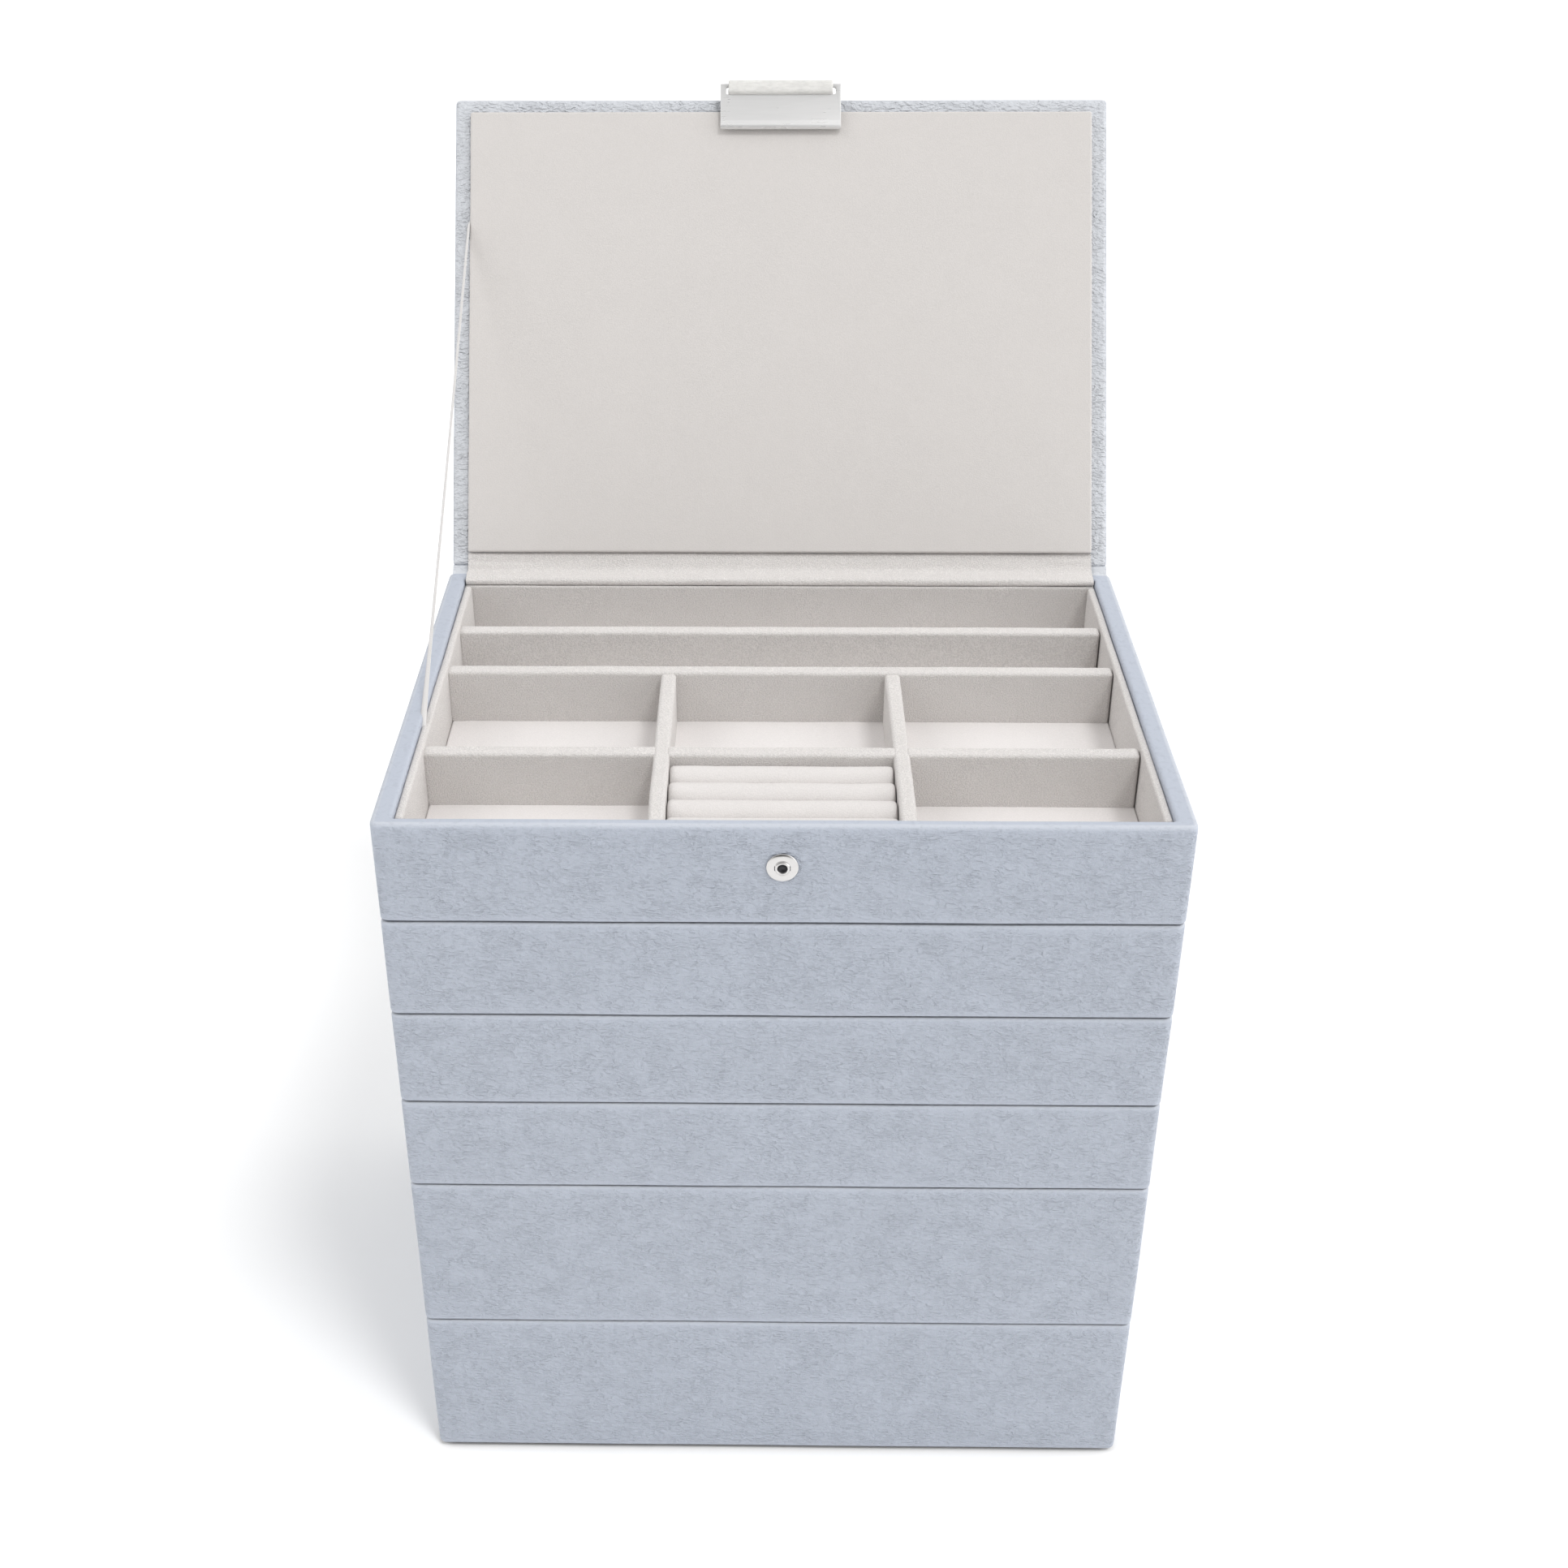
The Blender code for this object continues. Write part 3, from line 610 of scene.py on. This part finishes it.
def tray_dividers(tray, material):
    """Every divider of a tray. A cross divider stops at each long divider that runs through it."""
    long_boxes = [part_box(node) for node in divider_nodes(tray, "long")]
    for node, (low, high) in zip(divider_nodes(tray, "long"), long_boxes):
        front = Vector((low.x, low.y - DIVIDER_TUCK, low.z))
        velvet_divider(tray, node, [(front, high)], material)
    for node in divider_nodes(tray, "cross"):
        low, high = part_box(node)
        cuts = [low.x - DIVIDER_TUCK]
        for long_low, long_high in sorted(long_boxes, key=lambda box: box[0].x):
            if long_low.y < low.y and long_high.y > high.y:
                cuts += [long_low.x + DIVIDER_TUCK, long_high.x - DIVIDER_TUCK]
        cuts.append(high.x)
        boxes = [
            (Vector((start, low.y, low.z)), Vector((end, high.y, high.z)))
            for start, end in zip(cuts[::2], cuts[1::2])
        ]
        velvet_divider(tray, node, boxes, material)


def ring_roll(number, material):
    """Foam roll under velvet: a round top, straight sides and drawn-in ends."""
    node = f"ring_roll_{number}"
    low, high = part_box(node)
    middle = (low.y + high.y) / 2
    half = (high.y - low.y) / 2 + 0.08 * MM
    swell = 1.2 * MM
    end_round = 1.4 * MM
    stations = 30
    rings = []
    for station in range(stations + 1):
        x = low.x + (high.x - low.x) * (0.5 - 0.5 * math.cos(math.pi * station / stations))
        past = max(0.0, end_round - (x - low.x), end_round - (high.x - x)) / end_round
        shrink = end_round * (1 - math.sqrt(max(0.0, 1 - past * past))) * 0.8
        reach = half - shrink
        top = high.z + swell - shrink
        ring = [Vector((x, middle - reach * 0.96, low.z)), Vector((x, middle + reach * 0.96, low.z))]
        ring.append(Vector((x, middle + reach, (low.z + top - reach) / 2)))
        for step in range(17):
            angle = math.pi * step / 16
            bulge = 1.0 + 0.02 * math.sin(3 * angle)
            ring.append(Vector((x, middle + reach * bulge * math.cos(angle), top - reach + reach * math.sin(angle))))
        ring.append(Vector((x, middle - reach, (low.z + top - reach) / 2)))
        rings.append([point + wander(point + Vector((0, number, 0)), 11 * MM, 0.22 * MM) for point in ring])
    bm = bmesh.new()
    loft(bm, rings)
    piece = add_piece(f"{node}_velvet", bm, material, "tray_1", [node])
    return piece


def make_trays(materials):
    """All six trays with everything fixed in them."""
    for tray in TRAYS:
        tray_shell(tray, materials["leatherette"])
        tray_plinth(tray, materials["leatherette"])
        tray_liner(tray, materials["velvet"])
        floor_pad(tray, materials["floor_velvet"])
        tray_dividers(tray, materials["velvet"])
    for number in range(1, 5):
        ring_roll(number, materials["roll_velvet"])


# ---- lid, hinge and stay ------------------------------------------------------------------


def lid_board(material):
    """The lid's board under leatherette, with a slight drift in its shape."""
    low, high = lid_box("lid_board")

    def shape(point):
        return point + wander(point, 45 * MM, 0.16 * MM)

    bm = add_soft_box(bmesh.new(), low, high, 1.7 * MM, 9 * MM, shape)
    piece = add_piece("lid_leather", bm, material, "lid", ["lid_board"], LID)
    inverse = LID.inverted()
    # Painted highlight: the lid's inner face, round the velvet panel, is made pale all over.
    paint(piece, "pale", lambda point: 1.0 if (inverse @ point).z > high.z - 0.6 * MM else 0.0)
    return piece


def lid_panel(material):
    """Thin padded velvet panel on the lid's inner side."""
    low, high = lid_box("lid_panel")
    crown = 0.35 * MM

    def shape(point):
        across = 1 - (point.x / high.x) ** 4
        along = 1 - ((point.y - (low.y + high.y) / 2) / ((high.y - low.y) / 2)) ** 4
        lift = crown * across * along if point.z > (low.z + high.z) / 2 else 0.0
        return point + Vector((0, 0, lift)) + wander(point, 30 * MM, 0.08 * MM)

    bm = add_soft_box(bmesh.new(), low, high, 0.8 * MM, 7 * MM, shape)
    piece = add_piece("lid_panel_velvet", bm, material, "lid", ["lid_panel"], LID)
    return piece


def on_lid(u, n):
    """A point of the lid's cross-section as (y, z) of the row frame."""
    point = LID @ Vector((0.0, u, n))
    return Vector((point.y, point.z))


def crossing_piece(name, section, half_width, ripple, material, node):
    """A strip across the hinge: one outline carried along X, softly rippled, most of all near its ends."""
    columns = 72
    rings = []
    for column in range(columns + 1):
        x = -half_width * math.cos(math.pi * column / columns)
        near_end = math.exp(-(half_width - abs(x)) / (16 * MM))
        ring = []
        for point in section:
            place = Vector((x, point.x, point.y))
            fold = noise.noise(Vector((place.x / (22 * MM), place.y / (2.4 * MM), place.z / (2.4 * MM))))
            drift = ripple * (fold * (0.35 + near_end) + 0.4 * noise.noise(place / (26 * MM)))
            ring.append(place + Vector((0.0, -drift * 0.5, drift)))
        rings.append(ring)
    bm = bmesh.new()
    loft(bm, rings)
    piece = add_piece(name, bm, material, None, [node])
    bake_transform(piece)
    return piece


def hinge_lining(material):
    """Velvet strip from under the lid panel, over the hinge gap, rolled down over the tray's back rim."""
    panel_low = lid_box("lid_panel")[0]
    liner_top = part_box("tray_1_liner")[1].z
    face_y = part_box("tray_1_floor_pad")[1].y + LINER_GAP
    points = [
        on_lid(panel_low.y - 0.1 * MM, 0.45 * MM), on_lid(5.6 * MM, 0.35 * MM), on_lid(3.4 * MM, 0.6 * MM),
        Vector((BACK_Y - 0.4 * MM, RIM_Z + 1.9 * MM)), Vector((BACK_Y - 2.2 * MM, RIM_Z + 0.95 * MM)),
        Vector((BACK_Y - 4.2 * MM, RIM_Z + 0.95 * MM)), Vector((face_y + 1.9 * MM, RIM_Z + 0.85 * MM)),
        Vector((face_y + 0.7 * MM, RIM_Z + 0.2 * MM)), Vector((face_y + 0.35 * MM, RIM_Z - 0.8 * MM)),
        Vector((face_y + 0.6 * MM, liner_top + 0.35 * MM)),
    ]
    half_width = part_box("hinge_lining")[1].x
    path = smooth_path(points, 5)
    piece = crossing_piece(
        "hinge_lining_velvet", band_section(path, 0.5 * MM), half_width, 0.45 * MM, material,
        "hinge_lining",
    )
    return piece


def hinge_spine(material):
    """Leather web: it leaves the tray's back rim in a fillet, closes the gap, and backs the lid's end face."""
    low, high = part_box("hinge_spine")
    edge = lid_box("lid_board")[0].y
    inner = [
        Vector((BACK_Y - 3.0 * MM, RIM_Z - 0.25 * MM)), Vector((BACK_Y - 1.7 * MM, RIM_Z - 0.02 * MM)),
        Vector((BACK_Y - 0.7 * MM, RIM_Z + 0.25 * MM)), Vector((BACK_Y + 0.1 * MM, RIM_Z + 0.85 * MM)),
        on_lid(1.6 * MM, -0.45 * MM), on_lid(edge + 0.2 * MM, -0.65 * MM), on_lid(edge + 0.5 * MM, -1.5 * MM),
    ]
    outer = [
        on_lid(edge + 0.15 * MM, -7.6 * MM), on_lid(edge - 0.65 * MM, -7.4 * MM), on_lid(edge - 0.9 * MM, -4.5 * MM),
        on_lid(edge - 1.1 * MM, -2.6 * MM), Vector((BACK_Y + 1.15 * MM, RIM_Z - 0.6 * MM)),
        Vector((BACK_Y + 0.95 * MM, RIM_Z - 3.0 * MM)), Vector((BACK_Y + 0.95 * MM, low.z + 0.5 * MM)),
        Vector((BACK_Y + 0.5 * MM, low.z)), Vector((BACK_Y - 0.1 * MM, low.z)),
    ]
    section = smooth_path(inner, 3) + smooth_path(outer, 3) + [Vector((BACK_Y - 0.3 * MM, RIM_Z - 3.0 * MM))]
    piece = crossing_piece(
        "hinge_spine_leather", section, high.x + 0.9 * MM, 0.10 * MM, material, "hinge_spine",
    )
    paint(piece, "taut", lambda point: 0.7)
    # Painted highlight: the web turns paler towards its top, over the rim.
    paint(piece, "pale", lambda point: min(1.0, max(0.0, (point.z - RIM_Z + 1.0 * MM) / MM)))
    return piece


def stay_ribbon(material):
    """Flat ribbon from the lid to the tray's left wall. It turns from edge-on to flat in its lower part."""
    low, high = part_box("stay_ribbon")
    width = 2.6 * MM
    thickness = 0.35 * MM
    lid_end = Vector((low.x + 0.2 * MM, high.y - 1.2 * MM, high.z - 1.0 * MM))
    tray_end = Vector((high.x - 0.7 * MM, low.y, low.z - 2.6 * MM))
    run = (lid_end - tray_end).normalized()
    flat = Vector((1.0, 0.0, 0.0)).cross(run).normalized()
    stations = 110
    sag = 1.6 * MM
    rings = []
    for station in range(stations + 1):
        t = station / stations
        centre = tray_end.lerp(lid_end, t) + Vector((0.0, -0.35, -1.0)) * sag * 4 * t * (1 - t)
        turn = math.radians(29) + math.radians(52) * math.exp(-t / 0.08)
        across = (flat * math.cos(turn) + Vector((1.0, 0.0, 0.0)) * math.sin(turn)) * width / 2
        cupped = run.cross(across).normalized() * thickness / 2
        ring = [centre - across - cupped * 0.4, centre - cupped, centre + across - cupped * 0.4]
        ring += [centre + across + cupped * 0.4, centre + cupped, centre - across + cupped * 0.4]
        rings.append(ring)
    bm = bmesh.new()
    loft(bm, rings)
    piece = add_piece("stay_ribbon_weave", bm, material, None, ["stay_ribbon"])
    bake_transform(piece)
    return piece


def make_lid(materials):
    """Lid, hinge web, hinge lining and stay."""
    lid_board(materials["leatherette"])
    lid_panel(materials["panel_velvet"])
    hinge_lining(materials["velvet"])
    hinge_spine(materials["leatherette"])
    stay_ribbon(materials["ribbon"])


# ---- clasp --------------------------------------------------------------------------------

PLATE_THICKNESS = 1.2 * MM
PLATE_TOP = 1.0 * MM
PLATE_LENGTH = 17.1 * MM
SLOT_BAR = 1.3 * MM
SLOT_HEIGHT = 3.0 * MM
SLOT_WIDTH = 41.8 * MM
LOOP_RADIUS = 2.2 * MM
LOOP_LEATHER = 0.88 * MM
LOOP_SAG = 0.45 * MM


def apply_modifiers(item):
    """Replace an object's mesh by what its modifiers make of it."""
    shown = item.evaluated_get(bpy.context.evaluated_depsgraph_get())
    mesh = bpy.data.meshes.new_from_object(shown)
    item.modifiers.clear()
    item.data = mesh


def clasp_plate(material):
    """Plated metal plate: a slot for the loop, eased edges, and a finger lip rolled out along its foot."""
    half_width = (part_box("clasp_plate")[1].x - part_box("clasp_plate")[0].x) / 2
    half = PLATE_THICKNESS / 2
    foot = PLATE_TOP - PLATE_LENGTH
    lip = [
        (foot + 3.4 * MM, half), (foot + 2.6 * MM, half + 0.12 * MM), (foot + 2.0 * MM, half + 0.55 * MM),
        (foot + 1.5 * MM, half + 0.85 * MM), (foot + 0.9 * MM, half + 0.95 * MM), (foot + 0.3 * MM, half + 0.75 * MM),
        (foot, half + 0.3 * MM), (foot, -half + 0.3 * MM), (foot + 0.3 * MM, -half),
    ]
    outline = [(PLATE_TOP - 0.25 * MM, -half), (PLATE_TOP, -half + 0.25 * MM), (PLATE_TOP, half - 0.25 * MM)]
    outline += [(PLATE_TOP - 0.25 * MM, half)] + lip
    bm = bmesh.new()
    loft(bm, [[Vector((x, v, n)) for v, n in outline] for x in (-half_width, half_width)])
    plate = add_piece("clasp_plate_metal", bm, material, "clasp_plate", ["clasp_plate"], CLASP)
    slot_top = PLATE_TOP - SLOT_BAR
    cutter_bm = add_soft_box(
        bmesh.new(), Vector((-SLOT_WIDTH / 2, slot_top - SLOT_HEIGHT, -3 * MM)),
        Vector((SLOT_WIDTH / 2, slot_top, 3 * MM)), 0.9 * MM, 12 * MM,
    )
    cutter_mesh = bpy.data.meshes.new("slot_cutter")
    cutter_bm.transform(CLASP)
    cutter_bm.to_mesh(cutter_mesh)
    cutter_bm.free()
    cutter = bpy.data.objects.new("slot_cutter", cutter_mesh)
    bpy.context.scene.collection.objects.link(cutter)
    slot = plate.modifiers.new("slot", "BOOLEAN")
    slot.operation = "DIFFERENCE"
    slot.solver = "EXACT"
    slot.object = cutter
    bevel = plate.modifiers.new("eased", "BEVEL")
    bevel.width = 0.26 * MM
    bevel.segments = 3
    bevel.limit_method = "ANGLE"
    bevel.angle_limit = math.radians(50)
    bpy.context.view_layer.update()
    apply_modifiers(plate)
    bpy.data.objects.remove(cutter, do_unlink=True)
    plate.data.set_sharp_from_angle(angle=math.radians(35))
    return plate


def clasp_loop(material):
    """Leather folded round the plate's top bar: flat in front and behind, bent sharply above and in the slot."""
    half = (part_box("clasp_loop")[1].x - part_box("clasp_loop")[0].x) / 2 - 0.2 * MM
    steps = 40
    columns = 44
    easing = 0.5 * MM
    squareness = 0.55
    rings = []

    def ring_at(x, inset):
        ring = []
        for step in range(steps):
            angle = 2 * math.pi * step / steps
            along = math.copysign(abs(math.cos(angle)) ** squareness, math.cos(angle))
            off = math.copysign(abs(math.sin(angle)) ** squareness, math.sin(angle))
            crease = 0.0
            if inset < LOOP_LEATHER:
                crease = noise.noise(Vector((x / (9 * MM), angle * 2.2, 0.5))) * 0.05 * MM
            reach = LOOP_RADIUS - inset + crease
            ring.append(Vector((x, along * (reach + LOOP_SAG) - LOOP_SAG, off * (reach - 0.05 * MM))))
        return ring

    for column in range(columns + 1):
        x = -half * math.cos(math.pi * column / columns)
        past = max(0.0, abs(x) - (half - easing)) / easing
        rings.append(ring_at(x, easing * 0.6 * past * past))
    for column in range(columns, -1, -4):
        rings.append(ring_at(half * (2 * column / columns - 1), LOOP_LEATHER))
    bm = bmesh.new()
    loft(bm, rings, ring_closed=True)
    return add_piece("clasp_loop_leather", bm, material, "clasp_loop", ["clasp_loop"], CLASP)


def clasp_tab(material):
    """Leather tab from the lid's front edge to the underside of the loop."""
    edge = lid_box("lid_board")[1].y
    low, high = lid_box("clasp_tab")
    axis = LID.inverted() @ CLASP_AXIS
    thickness = 0.8 * MM
    points = [
        Vector((edge + 0.55 * MM, low.z)), Vector((edge + 0.5 * MM, low.z * 0.5)), Vector((edge + 0.5 * MM, -0.6 * MM)),
        Vector((edge + 0.9 * MM, 0.6 * MM)), Vector((axis.y - 0.9 * MM, axis.z - LOOP_RADIUS - 0.5 * MM)),
        Vector((axis.y, axis.z - LOOP_RADIUS - 0.3 * MM)),
    ]
    section = band_section(smooth_path(points, 5), thickness)
    columns = 24
    bm = bmesh.new()
    loft(bm, [[Vector((high.x * (2 * c / columns - 1), p.x, p.y)) for p in section] for c in range(columns + 1)])
    return add_piece("clasp_tab_leather", bm, material, "lid", ["clasp_tab"], LID)


def snap_stud(material):
    """Snap stud on the plate's back: a flange and a waisted head."""
    low, high = lid_box("clasp_stud")
    radius = (high.x - low.x) / 2
    height = high.z - low.z
    profile = [
        (0.0, 0.0), (radius, 0.0), (radius, height * 0.22), (radius * 0.86, height * 0.36),
        (radius * 0.62, height * 0.46), (radius * 0.66, height * 0.72), (radius * 0.58, height * 0.92),
        (radius * 0.35, height), (0.0, height),
    ]
    bm = turned(profile, 36)
    bm.transform(Matrix.Rotation(math.pi, 4, "X"))
    centre = Vector(((low.x + high.x) / 2, (low.y + high.y) / 2, high.z + 0.1 * MM))
    bm.transform(Matrix.Translation(centre))
    return add_piece("clasp_stud_metal", bm, material, "clasp_plate", ["clasp_stud"], LID)


def snap_socket(materials):
    """Snap socket: a domed ring, a groove, an inner ring and the sprung hole, its inside and slits lined with
    near-black metal as painted shade.
    """
    low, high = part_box("snap_socket")
    radius = (high.x - low.x) / 2
    depth = high.y - low.y
    centre = Vector(((low.x + high.x) / 2, high.y + 0.25 * MM, (low.z + high.z) / 2))
    face = Matrix.Translation(centre) @ Matrix.Rotation(math.pi / 2, 4, "X")
    ring = [
        (0.0, 0.0), (radius * 0.96, 0.0), (radius, 0.16), (radius * 0.995, 0.36), (radius * 0.95, 0.50),
        (radius * 0.72, 0.62), (radius * 0.52, 0.70), (radius * 0.50, 0.64), (radius * 0.47, 0.66),
        (radius * 0.45, 0.92), (radius * 0.41, 1.00), (radius * 0.35, 1.00), (radius * 0.31, 0.90),
        (radius * 0.30, 0.40), (0.0, 0.36),
    ]
    bm = turned([(r, h * (depth + 0.25 * MM)) for r, h in ring], 64)
    add_piece("snap_socket_metal", bm, materials["snap_steel"], "tray_1", ["snap_socket"], face)
    # Painted shade: a near-black lining in the hole and two near-black slits, where the hole and its gaps lie in shade.
    spring = turned([
        (0.0, 0.40 * depth), (radius * 0.295, 0.40 * depth), (radius * 0.295, 1.10 * depth),
        (radius * 0.27, 1.10 * depth), (radius * 0.26, 0.60 * depth), (0.0, 0.55 * depth),
    ], 32)
    for side in (-1, 1):
        slit_low = Vector((side * radius * 0.46 - 0.16 * MM, -radius * 0.16, 0.62 * depth))
        slit_high = Vector((side * radius * 0.46 + 0.16 * MM, radius * 0.16, 0.96 * depth))
        add_soft_box(spring, slit_low, slit_high, 0.12 * MM, 1 * MM)
    add_piece("snap_spring", spring, materials["snap_hole_shade_steel"], "tray_1", (), face)


def make_clasp(materials):
    """Plate, loop, tab, stud and socket."""
    clasp_plate(materials["plate_steel"])
    clasp_loop(materials["grey_leather"])
    clasp_tab(materials["grey_leather"])
    snap_stud(materials["snap_steel"])
    snap_socket(materials)


# ---- stage, lights and camera -------------------------------------------------------------

ZENITH_GLOW = 0.85
RIGHT_GLOW = 2.58
LEFT_GLOW = 0.81
KEY_STRENGTH = 1.00
FILL_STRENGTH = 0.76


def make_floor():
    """Plain pale floor."""
    material, shader = new_material("pale_floor", 0.9, 0.1)
    shader.inputs["Base Color"].default_value = (1.0, 1.0, 1.0, 1.0)
    mesh = bpy.data.meshes.new("floor")
    reach = 30.0
    mesh.from_pydata([(-reach, -reach, 0), (reach, -reach, 0), (reach, reach, 0), (-reach, reach, 0)], [], [(0, 1, 2, 3)])
    mesh.materials.append(material)
    floor = bpy.data.objects.new("floor", mesh)
    bpy.context.scene.collection.objects.link(floor)


def make_sky():
    """Studio surroundings: bright on the right, dimmer on the left and overhead. Behind the object, plain white."""
    world = bpy.data.worlds.new("studio")
    world.use_nodes = True
    bpy.context.scene.world = world
    tree = world.node_tree
    coords = add_node(tree, "ShaderNodeTexCoord")
    direction = add_node(tree, "ShaderNodeSeparateXYZ", {0: coords.outputs["Generated"]}).outputs
    height = math_value(tree, "MAXIMUM", direction["Z"], 0.0)
    to_right = math_value(tree, "MAXIMUM", direction["X"], 0.0)
    to_left = math_value(tree, "MAXIMUM", math_value(tree, "MULTIPLY", direction["X"], -1.0), 0.0)
    glow = 0.0
    for reach, strength in ((height, ZENITH_GLOW), (to_right, RIGHT_GLOW), (to_left, LEFT_GLOW)):
        part = math_value(tree, "MULTIPLY", math_value(tree, "POWER", reach, 2.0), strength)
        glow = math_value(tree, "ADD", part, glow)
    backdrop = add_node(tree, "ShaderNodeLightPath").outputs["Is Camera Ray"]
    strength = math_value(tree, "MAXIMUM", glow, backdrop)
    background = tree.nodes["Background"]
    background.inputs["Color"].default_value = (1.0, 1.0, 1.0, 1.0)
    tree.links.new(strength, background.inputs["Strength"])


def add_sun(name, strength, softness, azimuth, elevation):
    """A distant soft light. Azimuth is degrees to the right of the front, elevation degrees above level."""
    light = bpy.data.lights.new(name, "SUN")
    light.energy = strength
    light.angle = math.radians(softness)
    item = bpy.data.objects.new(name, light)
    bpy.context.scene.collection.objects.link(item)
    turn, rise = math.radians(azimuth), math.radians(elevation)
    towards = Vector((math.sin(turn) * math.cos(rise), -math.cos(turn) * math.cos(rise), math.sin(rise)))
    item.rotation_euler = towards.to_track_quat("Z", "Y").to_euler()
    item.visible_glossy = False


def make_camera():
    """Camera in front of the box and above it, looking down at the open top tray."""
    camera = bpy.data.cameras.new("camera")
    camera.sensor_width = 36.0
    camera.lens = 44.99
    camera.shift_x = 0.03573
    camera.shift_y = -0.01572
    item = bpy.data.objects.new("camera", camera)
    bpy.context.scene.collection.objects.link(item)
    item.location = (-0.00718, -0.58801, 0.58774)
    turn = Matrix.Rotation(math.radians(1.058), 4, "Z") @ Matrix.Rotation(math.radians(59.681), 4, "X")
    item.rotation_euler = (turn @ Matrix.Rotation(math.radians(-0.314), 4, "Z")).to_euler()
    bpy.context.scene.camera = item


def main():
    make_camera()
    make_floor()
    make_sky()
    add_sun("key_light", KEY_STRENGTH, 14, 40, 60)
    add_sun("fill_light", FILL_STRENGTH, 40, -75, 40)
    bpy.context.scene.view_settings.view_transform = "Standard"
    materials = make_materials()
    make_trays(materials)
    make_lid(materials)
    make_clasp(materials)


main()
